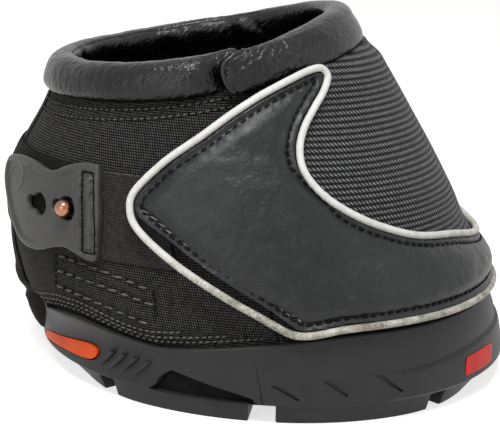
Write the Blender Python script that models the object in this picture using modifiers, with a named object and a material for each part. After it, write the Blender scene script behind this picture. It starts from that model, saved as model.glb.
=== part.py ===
"""Horse hoof boot: a rubber cup sole, a fabric upper, a padded collar and two front flaps.

The toe points along +X, the side with the latch tab faces -Y, and the boot stands on z = 0 with
its origin under the middle of the sole. Lengths are in metres and angles in degrees.
Every layer of the upper is drawn flat, as a pattern, and then wrapped on the boot's body:
pattern x is the turn round the body from the toe, y the height and z the offset from the body.
"""

import math

import bmesh
import bpy
from mathutils import Vector
from mathutils.geometry import intersect_line_line_2d

# Driving dimensions
sole_length = 0.150
sole_width = 0.142
boot_height = 0.115
heel_collar_height = 0.097
fit_gap = 0.0003
sole_gap = 0.0007
lining_gap = 0.0006
flap_gap = 0.0006
piping_gap = 0.0008
cut_overrun = 0.002
union_sink = 0.0003
merge_distance = 0.00001
probe_height = 0.001

# Rubber sole
tread_depth = 0.006
floor_thickness = 0.003
heel_wall_height = 0.0175
heel_counter_rise = 0.006
heel_counter_turns = (117.0, 22.0)
heel_counter_drop_share = 0.8
heel_counter_drop_turns = (142.0, 24.0)
toe_wall_height = 0.0275
wall_foot_thickness = 0.0031
wall_top_thickness = 0.0024
lip_round = 0.0008
toe_cap_proud = 0.0008
toe_cap_height = 0.0175
side_cap_height = 0.0140
toe_cap_recess = 0.0004
heel_gap_half_width = 0.0132
heel_sill = 0.0005
lug_width = 0.016
lug_inset = 0.0012
centre_pad_radius = 0.017
centre_bar_width = 0.009
centre_bar_length = 0.034
centre_bar_place = 0.034
insole_thickness = 0.0032
inlay_depth = 0.0016
inlay_proud = 0.0005
rib_width = 0.0011
rib_proud = 0.0006
badge_thickness = 0.0008
mesh_thickness = 0.0012

# Layers of the upper
quarter_thickness = 0.0022
lining_thickness = 0.0012
loop_thickness = 0.0006
inner_flap_thickness = 0.0014
flap_thickness = 0.0018
overlay_thickness = 0.0024
piping_radius = 0.0011
elastic_thickness = 0.0012
strap_thickness = 0.0012
heel_panel_half_width = 0.007
heel_bulge = 0.0068

# Padded collar
collar_thickness = 0.010
collar_depth = 0.0115
collar_inset = 0.0008
leather_thickness = 0.0012
flap_end_thickness = 0.0034
flap_end_offset = 0.0034
tucked_end_thickness = 0.0040
tucked_end_offset = -0.0028

# Hinge lines of the flaps, measured along the boot from the middle of the sole at the sole's
# lip, and their lean back for each metre of height
flap_hinge_place = 0.012
inner_flap_hinge_place = 0.014
hinge_lean_share = 0.25
hinge_gap = 0.0005
seam_width = 0.008
lip_clearance = 0.0007

# Latch tab and stud
tab_thickness = 0.0024
tab_boss_radius = 0.0020
tab_boss_height = 0.0006
large_hole_radius = 0.0034
small_hole_radius = 0.0020
hole_step = 0.0037
stud_foot_radius = 0.0026
stud_foot_thickness = 0.0006
stud_neck_radius = 0.0014
stud_head_radius = 0.0024

# Offsets of the layers from the body surface, worked out from their thicknesses
wall_outer = sole_gap + wall_foot_thickness
lining_outer = -quarter_thickness - lining_gap
lining_inner = lining_outer - lining_thickness
loop_outer = fit_gap + loop_thickness
inner_flap_inner = loop_outer + fit_gap
inner_flap_outer = inner_flap_inner + inner_flap_thickness
flap_inner = inner_flap_outer + flap_gap
flap_outer = flap_inner + flap_thickness
overlay_inner = flap_outer + fit_gap
overlay_outer = overlay_inner + overlay_thickness
strap_outer = fit_gap + strap_thickness
tab_inner = strap_outer + fit_gap
tab_outer = tab_inner + tab_thickness
floor_height = tread_depth + floor_thickness
upper_foot = floor_height + fit_gap

# Plan of the body at several heights, as shares: height of boot_height, toe reach and heel
# reach of sole_length, half width of sole_width, place of the widest point of sole_length
body_section_shares = (
    (0.078, 0.460, 0.488, 0.474, 0.000),
    (0.157, 0.448, 0.497, 0.477, 0.000),
    (0.200, 0.439, 0.545, 0.479, -0.013),
    (0.261, 0.417, 0.565, 0.473, -0.027),
    (0.348, 0.394, 0.580, 0.460, -0.047),
    (0.435, 0.347, 0.587, 0.439, -0.067),
    (0.522, 0.310, 0.582, 0.415, -0.087),
    (0.609, 0.272, 0.555, 0.387, -0.113),
    (0.696, 0.231, 0.519, 0.356, -0.140),
    (0.783, 0.189, 0.493, 0.330, -0.167),
    (0.870, 0.147, 0.477, 0.313, -0.187),
    (0.974, 0.100, 0.463, 0.306, -0.193),
)

# Rise of the collar from heel to front, as shares of a straight and of a square rise, and
# slope and start of the rise of the sole's lip
collar_rise_shares = (0.35, 0.65)
lip_rise_shares = (1.54, 0.105)

# Outlines on the body: turn in degrees from the toe, near side negative, and height as a share
overlay_tip_shares = (
    (-77.7, 0.800), (-87.8, 0.752), (-101.9, 0.674), (-108.4, 0.626), (-113.8, 0.569),
    (-115.1, 0.526), (-113.7, 0.478), (-107.3, 0.409), (-100.1, 0.348), (-93.6, 0.298),
)
overlay_hem_turns = (-86.0, -74.0, -60.0, -45.0, -30.0, -15.0, 0.0, 15.0, 30.0, 45.0, 60.0)
overlay_top_shares = (
    (0.0, 0.385), (-14.0, 0.402), (-29.0, 0.433), (-45.0, 0.458), (-56.0, 0.494),
    (-63.5, 0.532), (-69.0, 0.577), (-71.6, 0.632), (-70.2, 0.685), (-66.2, 0.733),
    (-60.4, 0.778), (-54.5, 0.818), (-50.9, 0.851), (-52.3, 0.871), (-57.4, 0.866),
    (-63.8, 0.849), (-70.6, 0.827),
)
overlay_far_top_shares = (
    (14.0, 0.405), (29.0, 0.438), (45.0, 0.465), (56.0, 0.500), (63.0, 0.540),
)
overlay_far_rise_share = 0.022
tab_outline_shares = (
    (-125.4, 0.592), (-124.5, 0.545), (-124.3, 0.490), (-124.9, 0.445), (-126.2, 0.380),
    (-128.2, 0.370), (-131.2, 0.379), (-135.0, 0.390), (-139.0, 0.383), (-143.5, 0.368),
    (-148.5, 0.362), (-153.0, 0.375), (-157.0, 0.415), (-160.5, 0.468), (-164.0, 0.510),
    (-165.3, 0.540), (-163.8, 0.562), (-156.0, 0.576), (-148.5, 0.575), (-140.5, 0.566),
    (-135.0, 0.588), (-130.0, 0.602),
)
tab_plate_shares = (0.35, 0.62)
keyhole_shares = ((-143.6, 0.480), (-133.8, 0.487))
stud_share = (-133.8, 0.487)
boss_share = (-155.5, 0.525)
inlay_outline_shares = (
    (-167.6, 0.066), (-166.0, 0.078), (-161.0, 0.094), (-154.0, 0.107), (-146.0, 0.122),
    (-140.0, 0.131), (-137.3, 0.127), (-136.6, 0.113), (-138.3, 0.091), (-142.1, 0.082),
    (-148.4, 0.079), (-156.4, 0.071), (-163.0, 0.063), (-166.5, 0.060),
)
drain_outline_shares = (
    (-119.5, 0.058), (-119.5, 0.075), (-118.5, 0.095), (-116.5, 0.111), (-115.0, 0.112),
    (-107.0, 0.093), (-99.0, 0.074), (-98.0, 0.066), (-98.5, 0.058),
)
set_in_share = 0.93
badge_outline_shares = ((-42.0, 0.080), (-40.0, 0.128), (-25.0, 0.128), (-27.0, 0.080))
rib_foot_shares = ((-135.6, 0.088), (-132.3, 0.088), (-129.0, 0.087), (-125.7, 0.085))
rib_lean_shares = (4.0, 0.046)
lug_turns = ((-164.0, -138.0), (-133.0, -98.7), (-92.5, -52.0))
toe_lug_turns = (-47.0, 47.0)
lug_step_turn = 7.0
lug_bevel_shares = (0.10, 0.55)
lug_bevel_turns = (60.0, 125.0, 40.0)
toe_cap_turns = (70.0, 12.0, 45.0)
heel_bulge_shares = (0.95, 0.50)
strap_height_shares = (0.383, 0.600)
strap_turns = (-232.0, -127.9)
anchor_turns = (112.0, 127.2)
elastic_turns = (-127.3, -108.6)
elastic_height_shares = (0.378, 0.595)
loop_turns = (-107.0, -83.0)
loop_height_shares = (0.425, 0.650)
hook_turns = (-105.0, -84.0)
hook_height_shares = (0.440, 0.630)
inner_loop_turns = (31.0, 41.0)
inner_loop_height_shares = (0.375, 0.760)
quarter_front_turn = 30.0
inner_flap_far_turn = 42.0
flap_collar_near_turn = -83.0
flap_collar_full_turn = -50.0
collar_near_turn = -77.0
collar_full_turn = -96.0
flap_end_shares = (0.4, 0.8)

# Pattern scale and fineness of the meshes
pattern_turn = 0.36
full_turn = 360.0
half_turn = 180.0
sole_steps = 72
insole_steps = 36
wall_levels = 4
wall_slice = 5.0
collar_step_turn = 8.0
collar_mouth_angle = 26.0
probe_turn = 1.0
outline_margin_turn = 2.0
sewn_margin_turn = 30.0
smooth_angle = 40.0
stud_head_steps = 7
piping_step = 0.0045
line_steps = 3
loop_points = 12
section_exponent = 2.4
settle_rounds = 6

boot = bpy.data.collections.new("hoof_boot")
cutters = bpy.data.collections.new("cutters")


def clear_scene():
    """Take away what the file holds and link the two collections."""
    for item in list(bpy.data.objects):
        bpy.data.objects.remove(item, do_unlink=True)
    bpy.context.scene.collection.children.link(boot)
    bpy.context.scene.collection.children.link(cutters)


def make_material(name, color, roughness, metallic=0.0):
    """Plain Principled material."""
    material = bpy.data.materials.new(name)
    material.use_nodes = True
    shader = material.node_tree.nodes["Principled BSDF"]
    shader.inputs["Base Color"].default_value = (*color, 1.0)
    shader.inputs["Roughness"].default_value = roughness
    shader.inputs["Metallic"].default_value = metallic
    return material


# Body surface


def smooth_lookup(rows, key):
    """Values at a key, on a smooth curve through the rows, whose first value is the key."""
    if key <= rows[0][0]:
        return rows[0][1:]
    if key >= rows[-1][0]:
        return rows[-1][1:]
    last = len(rows) - 1
    at = max(index for index in range(last) if rows[index][0] <= key)

    def slope(index, column):
        before, after = max(index - 1, 0), min(index + 1, last)
        rise = rows[after][column] - rows[before][column]
        return rise / (rows[after][0] - rows[before][0])

    step = rows[at + 1][0] - rows[at][0]
    t = (key - rows[at][0]) / step
    values = []
    for column in range(1, len(rows[0])):
        start, end = rows[at][column], rows[at + 1][column]
        values.append((2 * t**3 - 3 * t**2 + 1) * start + (3 * t**2 - 2 * t**3) * end
                      + (t**3 - 2 * t**2 + t) * step * slope(at, column)
                      + (t**3 - t**2) * step * slope(at + 1, column))
    return values


def section_at(height):
    """Toe reach, heel reach, half width and place of the widest point at a height."""
    toe, heel, half_width, middle = smooth_lookup(body_section_shares, height / boot_height)
    return toe * sole_length, heel * sole_length, half_width * sole_width, middle * sole_length


def body_point(turn, height, offset):
    """Point on the body's side, moved out by the offset."""
    toe, heel, half_width, middle = section_at(height)
    along, across = math.cos(math.radians(turn)), math.sin(math.radians(turn))
    reach = toe - middle if along >= 0 else heel + middle
    return Vector((middle + (reach + offset) * along, (half_width + offset) * across, height))


def turn_at(place, height, offset, side):
    """Turn of the point on one side of the body that lies at a place along the boot."""
    toe, heel, _, middle = section_at(height)
    reach = toe - middle if place >= middle else heel + middle
    return side * math.degrees(math.acos((place - middle) / (reach + offset)))


def degrees_per_metre(turn, height, offset):
    """How far one metre along the surface turns round the body."""
    a, b = body_point(turn, height, offset), body_point(turn + probe_turn, height, offset)
    return probe_turn / (b - a).length


def smoothstep(share):
    """Soft rise from 0 to 1."""
    share = min(max(share, 0.0), 1.0)
    return share * share * (3 - 2 * share)


def wall_height(turn):
    """Height of the sole's lip, highest at the toe and raised again round the heel."""
    turn = (turn + half_turn) % full_turn - half_turn
    forward = (1 + math.cos(math.radians(turn))) / 2
    slope, start = lip_rise_shares
    rise = smoothstep(slope * forward - start)
    counter_start, counter_length = heel_counter_turns
    counter = heel_counter_rise * smoothstep((abs(turn) - counter_start) / counter_length)
    drop_start, drop_length = heel_counter_drop_turns
    counter *= 1 - heel_counter_drop_share * smoothstep((abs(turn) - drop_start) / drop_length)
    return heel_wall_height + (toe_wall_height - heel_wall_height) * rise + counter


def collar_top(turn):
    """Height of the collar's top line."""
    heel_share, square_share = collar_rise_shares
    forward = (1 + math.cos(math.radians(turn))) / 2
    rise = heel_share * forward + square_share * forward**2
    return heel_collar_height + (boot_height - heel_collar_height) * rise


def upper_top(turn):
    """Height of the top edge of the fabric under the collar."""
    return collar_top(turn) - collar_depth - fit_gap


def hinge_place(foot_place, height):
    """Place along the boot of a leaning hinge line at a height."""
    return foot_place - hinge_lean_share * (height - toe_wall_height)


def flap_hem(turn):
    """Height of the flaps' lower edge, just over the sole's lip."""
    return wall_height(turn) + lip_clearance


# Mesh helpers


def add_object(name, mesh, collection, material=None):
    """New object for a mesh."""
    item = bpy.data.objects.new(name, mesh)
    collection.objects.link(item)
    if material:
        mesh.materials.append(material)
    if collection is cutters:
        item.hide_render = True
        item.display_type = "WIRE"
    return item


def finish_mesh(bm, name):
    """Mesh data from a bmesh, with its faces turned outwards."""
    bmesh.ops.recalc_face_normals(bm, faces=bm.faces)
    mesh = bpy.data.meshes.new(name)
    bm.to_mesh(mesh)
    bm.free()
    return mesh


def value_of(rule, *places):
    """A rule is a number or a function of places."""
    return rule(*places) if callable(rule) else rule


def pattern_plate(name, turns, heights, layer, cells, collection, material=None):
    """Flat plate of cells in pattern space; its edges and faces may follow functions."""
    bm = bmesh.new()
    bmesh.ops.create_grid(bm, x_segments=cells[0], y_segments=cells[1], size=1.0)
    lifted = bmesh.ops.extrude_face_region(bm, geom=bm.faces[:])["geom"]
    outer = {item for item in lifted if isinstance(item, bmesh.types.BMVert)}
    for vert in bm.verts:
        across, up = (vert.co.x + 1) / 2, (vert.co.y + 1) / 2
        height = boot_height / 2
        for _ in range(settle_rounds):
            start, end = (value_of(edge, height) for edge in turns)
            turn = start + (end - start) * across
            low, high = (value_of(edge, turn) for edge in heights)
            height = low + (high - low) * up
        depth = value_of(layer[1 if vert in outer else 0], turn, height)
        vert.co = (turn / full_turn * pattern_turn, height, depth)
    return add_object(name, finish_mesh(bm, name), collection, material)


def normal_point(turn, height, offset):
    """Point over the body's side, moved out square to the surface."""
    return body_point(turn, height, 0) + surface_normal(turn, height) * offset


def wrap(item, smooth=True, slice_step=None, place=body_point):
    """Move every vertex from pattern space to its place on the body."""
    mesh = item.data
    bm = bmesh.new()
    bm.from_mesh(mesh)
    if slice_step:
        slice_step *= pattern_turn / full_turn
        start = min(vert.co.x for vert in bm.verts)
        end = max(vert.co.x for vert in bm.verts)
        for index in range(math.ceil(start / slice_step), math.ceil(end / slice_step)):
            bmesh.ops.bisect_plane(bm, geom=[*bm.verts, *bm.edges, *bm.faces],
                                   plane_co=(index * slice_step, 0, 0), plane_no=(1, 0, 0))
    for vert in bm.verts:
        x, height, offset = vert.co
        vert.co = place(x / pattern_turn * full_turn, height, offset)
    bmesh.ops.triangulate(bm, faces=[face for face in bm.faces if len(face.verts) > 4])
    bmesh.ops.recalc_face_normals(bm, faces=bm.faces)
    bm.to_mesh(mesh)
    bm.free()
    if smooth:
        mesh.shade_smooth()
        mesh.set_sharp_from_angle(angle=math.radians(smooth_angle))
    return item


def sheet(name, turns, heights, layer, cells, material):
    """Layer of the upper between two turns, two heights and two offsets."""
    return wrap(pattern_plate(name, turns, heights, layer, cells, boot, material))


def smooth_line(points, closed, steps=line_steps):
    """More points on a smooth curve through a few."""
    count = len(points)
    line = []
    for index in range(count if closed else count - 1):
        if closed:
            four = [points[(index + shift) % count] for shift in (-1, 0, 1, 2)]
        else:
            four = [points[min(max(index + shift, 0), count - 1)] for shift in (-1, 0, 1, 2)]
        for step in range(steps):
            t = step / steps
            line.append(tuple(
                (2 * b + (c - a) * t + (2 * a - 5 * b + 4 * c - d) * t**2
                 + (3 * b - a - 3 * c + d) * t**3) / 2
                for a, b, c, d in zip(*four)))
    if not closed:
        line.append(tuple(points[-1]))
    return line


def to_pattern(points):
    """Pattern places of points given as turn and share of the boot's height."""
    return [(turn / full_turn * pattern_turn, share * boot_height) for turn, share in points]


def outline_prism(name, points, low, high, collection, material=None):
    """Solid between two offsets inside an outline of pattern places."""
    curve = bpy.data.curves.new(name, "CURVE")
    curve.dimensions = "2D"
    curve.fill_mode = "BOTH"
    curve.extrude = (high - low) / 2
    spline = curve.splines.new("POLY")
    spline.points.add(len(points) - 1)
    for place, point in zip(points, spline.points):
        point.co = (*place, 0, 1)
    spline.use_cyclic_u = True
    guide = bpy.data.objects.new(name + "_curve", curve)
    guide.location.z = (low + high) / 2
    return curve_to_mesh(guide, name, collection, material)


def curve_to_mesh(guide, name, collection, material=None):
    """Closed mesh object in the place of a curve object, which is removed."""
    cutters.objects.link(guide)
    bpy.context.view_layer.update()
    graph = bpy.context.evaluated_depsgraph_get()
    mesh = bpy.data.meshes.new_from_object(guide.evaluated_get(graph))
    mesh.transform(guide.matrix_world)
    bm = bmesh.new()
    bm.from_mesh(mesh)
    bmesh.ops.remove_doubles(bm, verts=bm.verts, dist=merge_distance)
    bmesh.ops.recalc_face_normals(bm, faces=bm.faces)
    bm.to_mesh(mesh)
    bm.free()
    bpy.data.objects.remove(guide, do_unlink=True)
    mesh.materials.clear()
    return add_object(name, mesh, collection, material)


def apply_boolean(item, tool, operation):
    """Cut, join or trim an object by another and keep the result in its mesh."""
    modifier = item.modifiers.new(operation.lower(), "BOOLEAN")
    modifier.operation = operation
    modifier.object = tool
    bpy.context.view_layer.update()
    graph = bpy.context.evaluated_depsgraph_get()
    mesh = bpy.data.meshes.new_from_object(item.evaluated_get(graph))
    item.modifiers.clear()
    item.data = mesh
    return item


def loft(name, rings, collection, material=None):
    """Closed skin through rings of equal count, with a face over the first and the last."""
    bm = bmesh.new()
    rows = [[bm.verts.new(point) for point in ring] for ring in rings]
    count = len(rows[0])
    for lower, upper in zip(rows, rows[1:]):
        for index in range(count):
            after = (index + 1) % count
            bm.faces.new((lower[index], lower[after], upper[after], upper[index]))
    bm.faces.new(rows[0])
    bm.faces.new(rows[-1])
    item = add_object(name, finish_mesh(bm, name), collection, material)
    item.data.shade_smooth()
    item.data.set_sharp_from_angle(angle=math.radians(smooth_angle))
    return item


def mirror_turns(points):
    """The same outline on the other side of the boot."""
    return [(-turn, share) for turn, share in points]


# Rubber sole


def sole_profile(turn):
    """Heights and offsets down the inside and the outside of the wall at a turn."""
    lip = wall_height(turn)
    cap_end, edge_turn, slope_turn = toe_cap_turns
    toe_share = smoothstep((cap_end - abs(turn)) / edge_turn)
    rise = smoothstep((cap_end - abs(turn)) / slope_turn)
    cap = side_cap_height + (toe_cap_height - side_cap_height) * rise
    foot = wall_outer
    top = sole_gap + wall_top_thickness
    cap_offset = (foot + top) / 2 + toe_cap_proud * toe_share
    over_offset = (foot + top) / 2 - toe_cap_recess * toe_share
    return (
        (tread_depth, foot - lug_inset),
        (tread_depth, foot),
        (tread_depth + floor_thickness / 2, foot + toe_cap_proud * toe_share),
        (cap - lip_round, cap_offset),
        (cap + lip_round / 2, over_offset),
        (lip - lip_round, top),
        (lip, top - lip_round),
        (lip, sole_gap + lip_round),
        (lip - lip_round, sole_gap),
        *((lip - lip_round - (lip - lip_round - floor_height) * level / wall_levels, sole_gap)
          for level in range(1, wall_levels + 1)),
    )


def lug_outer(turn, height):
    """Outer side of a tread lug, bevelled inwards at the toe and the heel."""
    low_share, high_share = lug_bevel_shares
    toe_turn, heel_turn, heel_length = lug_bevel_turns
    end = max(smoothstep(1 - abs(turn) / toe_turn),
              smoothstep((abs(turn) - heel_turn) / heel_length))
    bevel = lug_width * (low_share + (high_share - low_share) * end)
    down = 1 - height / tread_depth
    return wall_outer - lug_inset - bevel * max(down, 0.0)


def make_lugs():
    """Blocks of the tread, each a solid that is joined to the sole."""
    ranges = [*lug_turns, *((-end, -start) for start, end in lug_turns), toe_lug_turns]
    inner = wall_outer - lug_inset - lug_width
    heights = (0.0, tread_depth + union_sink)
    for number, turns in enumerate(ranges):
        cells = (max(2, round((turns[1] - turns[0]) / lug_step_turn)), 1)
        block = pattern_plate(f"lug_{number}", turns, heights, (inner, lug_outer), cells, cutters)
        yield wrap(block, smooth=False)
    depth = tread_depth + union_sink
    bpy.ops.mesh.primitive_cylinder_add(
        vertices=24, radius=centre_pad_radius, depth=depth, location=(0, 0, depth / 2))
    yield to_cutter("centre_pad")
    for side in (-1, 1):
        bpy.ops.mesh.primitive_cube_add(size=1, location=(side * centre_bar_place, 0, depth / 2))
        bar = to_cutter("centre_bar")
        bar.scale = (centre_bar_width, centre_bar_length, depth)
        yield bar


def to_cutter(name):
    """Move the primitive that was just added to the cutters."""
    item = bpy.context.object
    item.name = name
    for collection in list(item.users_collection):
        collection.objects.unlink(item)
    cutters.objects.link(item)
    item.hide_render = True
    item.display_type = "WIRE"
    return item


def make_ribs():
    """Slanted ribs on the wall behind the drain slot, on both sides."""
    lean_turn, lean_height = rib_lean_shares
    inner = wall_outer - wall_foot_thickness / 2
    outer = wall_outer + rib_proud
    for foot_turn, foot_share in rib_foot_shares:
        half = rib_width / 2 * degrees_per_metre(foot_turn, floor_height, outer)
        points = [(foot_turn - half, foot_share), (foot_turn + half, foot_share),
                  (foot_turn + lean_turn + half, foot_share + lean_height),
                  (foot_turn + lean_turn - half, foot_share + lean_height)]
        for outline in (points, mirror_turns(points)):
            yield wrap(outline_prism("rib", to_pattern(outline), inner, outer, cutters), False)


def make_outsole(rubber):
    """Cup sole with its wall, floor, tread, ribs, recesses, drain slots and open heel."""
    turns = [full_turn * index / sole_steps for index in range(sole_steps)]
    turns = [turn - full_turn if turn > half_turn else turn for turn in turns]
    profiles = [sole_profile(turn) for turn in turns]
    rings = []
    for level in range(len(profiles[0])):
        rings.append([body_point(turn, *profile[level])
                      for turn, profile in zip(turns, profiles)])
    sole = loft("outsole", rings, boot, rubber)
    for block in [*make_lugs(), *make_ribs()]:
        apply_boolean(sole, block, "UNION")
    for side, outline in enumerate((inlay_outline_shares, mirror_turns(inlay_outline_shares))):
        tool = outline_prism(f"inlay_recess_{side}", to_pattern(outline),
                             wall_outer - inlay_depth, wall_outer + cut_overrun, cutters)
        apply_boolean(sole, wrap(tool, False, wall_slice), "DIFFERENCE")
    for side, outline in enumerate((drain_outline_shares, mirror_turns(drain_outline_shares))):
        tool = outline_prism(f"drain_slot_{side}", to_pattern(outline),
                             sole_gap - union_sink, wall_outer + cut_overrun, cutters)
        apply_boolean(sole, wrap(tool, False, wall_slice), "DIFFERENCE")
    heel_reach = body_section_shares[0][2] * sole_length
    bpy.ops.mesh.primitive_cube_add(size=1)
    gap = to_cutter("heel_gap")
    gap.scale = (heel_reach, 2 * heel_gap_half_width, toe_wall_height)
    gap.location = (-heel_reach, 0, floor_height + heel_sill + toe_wall_height / 2)
    apply_boolean(sole, gap, "DIFFERENCE")
    return sole


def make_insole(foam):
    """Flat comfort pad inside the lining."""
    edge = lining_inner - fit_gap
    turns = [full_turn * index / insole_steps for index in range(insole_steps)]
    levels = (floor_height + fit_gap, floor_height + fit_gap + insole_thickness)
    rings = [[body_point(turn, level, edge) for turn in turns] for level in levels]
    return loft("insole_pad", rings, boot, foam)


def make_wall_piece(name, outline, inset_share, low, high, material):
    """Piece set in or on the sole's wall, a little smaller than its outline."""
    places = to_pattern(outline)
    middle = [sum(values) / len(places) for values in zip(*places)]
    places = [tuple(m + (p - m) * inset_share for p, m in zip(place, middle)) for place in places]
    return wrap(outline_prism(name, places, low, high, boot, material), True, wall_slice)


def make_wall_pieces(orange, red, mesh_cloth):
    """Orange side inlays, red toe marks and the cloth behind the drain slots."""
    outer = wall_outer
    for side, flip in (("near", list), ("far", mirror_turns)):
        make_wall_piece(f"side_inlay_{side}", flip(inlay_outline_shares), set_in_share,
                        outer - inlay_depth + fit_gap, outer + inlay_proud, orange)
        make_wall_piece(f"toe_mark_{side}", flip(badge_outline_shares), 1.0,
                        outer + toe_cap_proud + fit_gap / 2,
                        outer + toe_cap_proud + fit_gap / 2 + badge_thickness, red)
        make_wall_piece(f"drain_mesh_{side}", flip(drain_outline_shares), set_in_share,
                        sole_gap, sole_gap + mesh_thickness, mesh_cloth)


# Upper


def heel_half_turn(height):
    """Half width of the heel panel as a turn, widest where it fills the gap in the sole."""
    foot = heel_gap_half_width - 2 * fit_gap
    half = foot + (heel_panel_half_width - foot) * height / heel_collar_height
    return half * degrees_per_metre(half_turn, height, 0)


def heel_outer(turn, height):
    """Outer side of the heel panel, which bulges out through the gap in the sole."""
    start, length = heel_bulge_shares
    return heel_bulge * (1 - smoothstep((height / heel_wall_height - start) / length))


def make_upper(cloth, tape, lining_cloth):
    """Near and far quarters, the heel panel between them and the lining."""
    edge_gap = fit_gap * degrees_per_metre(half_turn, boot_height / 2, 0)
    layer = (-quarter_thickness, 0.0)

    def near_heel(height):
        return heel_half_turn(height) + edge_gap - half_turn

    def far_heel(height):
        return half_turn - heel_half_turn(height) - edge_gap

    heights = (upper_foot, upper_top)
    sheet("near_quarter", (near_heel, -quarter_front_turn), heights, layer, (20, 16), cloth)
    sheet("far_quarter", (quarter_front_turn, far_heel), heights, layer, (20, 16), cloth)
    sheet("heel_panel",
          (lambda height: half_turn - heel_half_turn(height),
           lambda height: half_turn + heel_half_turn(height)),
          (floor_height + heel_sill + fit_gap, upper_top),
          (-quarter_thickness, heel_outer), (4, 16), tape)
    sheet("lining", (quarter_front_turn, full_turn - quarter_front_turn),
          heights, (lining_inner, lining_outer), (34, 16), lining_cloth)


def make_straps(webbing, elastic, leather, loops):
    """Heel strap, its far anchor, the elastic band and the loop patches."""
    strap_heights = [share * boot_height for share in strap_height_shares]
    elastic_heights = [share * boot_height for share in elastic_height_shares]
    layer = (fit_gap, strap_outer)
    sheet("heel_strap", strap_turns, strap_heights, layer, (18, 4), webbing)
    sheet("strap_anchor", anchor_turns, strap_heights, layer, (3, 4), leather)
    sheet("elastic_band", elastic_turns, elastic_heights,
          (fit_gap, fit_gap + elastic_thickness), (4, 4), elastic)
    loop_layer = (fit_gap, loop_outer)
    sheet("loop_patch", loop_turns, [share * boot_height for share in loop_height_shares],
          loop_layer, (5, 3), loops)
    sheet("inner_loop_patch", inner_loop_turns,
          [share * boot_height for share in inner_loop_height_shares], loop_layer, (3, 8), loops)


# Collar


def roll_section(half_width, half_depth, start, end, count):
    """Offsets and heights round a full soft section, from one angle to another."""
    points = []
    for index in range(count):
        angle = math.radians(start + (end - start) * index / (count - 1))
        c, s = math.cos(angle), math.sin(angle)
        power = 2 / section_exponent
        points.append((half_width * math.copysign(abs(c)**power, c),
                       half_depth * math.copysign(abs(s)**power, s)))
    return points


def collar_shape(turn):
    """Centre offset and half thickness of the fixed roll, flattened where the flap laps it."""
    flat = smoothstep((turn - collar_full_turn) / (collar_near_turn - collar_full_turn))
    if turn > 0 or turn < collar_full_turn:
        flat = 0.0
    half = (collar_thickness + (tucked_end_thickness - collar_thickness) * flat) / 2
    return -collar_inset + (tucked_end_offset + collar_inset) * flat, half


def roll_rings(turns, shape, section_of):
    """Rings of a roll along the collar line."""
    rings = []
    for turn in turns:
        centre, half = shape(turn)
        middle = collar_top(turn) - collar_depth / 2
        rings.append([body_point(turn, middle + up, centre + out)
                      for out, up in section_of(half)])
    return rings


def turn_steps(start, end, step):
    """Turns from start to end in even steps."""
    count = max(2, round(abs(end - start) / step))
    return [start + (end - start) * index / count for index in range(count + 1)]


def collar_hinge_turn():
    """Turn at which the flap's collar parts from the fixed one on the far side."""
    turn = 0.0
    for _ in range(settle_rounds):
        middle = collar_top(turn) - collar_depth / 2
        turn = turn_at(hinge_place(flap_hinge_place, middle), middle, -collar_inset, 1)
    return turn


def make_collar(leather, foam):
    """Fixed padded collar: a leather cover, open along its foot, round a foam core."""
    gap_turn = hinge_gap / 2 * degrees_per_metre(collar_hinge_turn(), heel_collar_height, 0)
    turns = turn_steps(collar_near_turn, collar_hinge_turn() + gap_turn - full_turn,
                       collar_step_turn)
    start, end = collar_mouth_angle - 90, 270 - collar_mouth_angle

    def cover_section(half):
        outside = roll_section(half, collar_depth / 2, start, end, 12)
        inside = roll_section(half - leather_thickness, collar_depth / 2 - leather_thickness,
                              end, start, 9)
        return outside + inside

    def foam_section(half):
        wall = leather_thickness + fit_gap
        return roll_section(half - wall, collar_depth / 2 - wall, -90, 270, 9)[:-1]

    def folded(turn):
        return collar_shape(turn if turn > -half_turn else turn + full_turn)

    loft("collar_cover", roll_rings(turns, folded, cover_section), boot, leather)
    loft("collar_foam", roll_rings(turns[2:], folded, foam_section), boot, foam)


def flap_collar_shape(turn):
    """Centre offset and half thickness of the flap's roll, thin where it laps the fixed one."""
    flat = smoothstep((turn - flap_collar_full_turn)
                      / (flap_collar_near_turn - flap_collar_full_turn))
    half = (collar_thickness + (flap_end_thickness - collar_thickness) * flat) / 2
    return -collar_inset + (flap_end_offset + collar_inset) * flat, half


# Flaps


def hinge_line(foot_place, offset, side, heights):
    """Two points of a hinge line that clears the bulge of the body."""
    places = [*heights, sum(heights) / 2]
    low, high, bulge = (
        body_point(turn_at(hinge_place(foot_place, height), height, offset, side), height, offset)
        for height in places)
    proud = max(0.0, side * (bulge.y - (low.y + high.y) / 2))
    return [point + Vector((0, side * proud, 0)) for point in (low, high)]


def flap_far_turn(height):
    """Turn of the outer flap's sewn edge."""
    place = hinge_place(flap_hinge_place, height) + hinge_gap / 2
    return turn_at(place, height, flap_inner, 1)


def overlay_far_turn(height):
    """Turn of the leather overlay's sewn edge."""
    place = hinge_place(flap_hinge_place, height) + hinge_gap / 2
    return turn_at(place, height, overlay_inner, 1)


def inner_flap_near_turn(height):
    """Turn of the inner flap's sewn edge."""
    place = hinge_place(inner_flap_hinge_place, height) + hinge_gap / 2
    return turn_at(place, height, inner_flap_inner, -1)


def overlay_outline():
    """Piping line of the leather overlay, from the far hinge round the near tip and back."""
    far_low = overlay_far_turn(toe_wall_height)
    hem_rise = (overlay_outer - overlay_inner) / boot_height
    hem = [(turn, flap_hem(turn) / boot_height + hem_rise)
           for turn in (*overlay_hem_turns, far_low)]
    high_share = overlay_far_top_shares[-1][1] + overlay_far_rise_share
    far_high = overlay_far_turn(high_share * boot_height)
    top = [(far_high, high_share), *reversed(overlay_far_top_shares), *overlay_top_shares]
    return smooth_line([*top, *overlay_tip_shares, *hem], closed=False)


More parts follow.
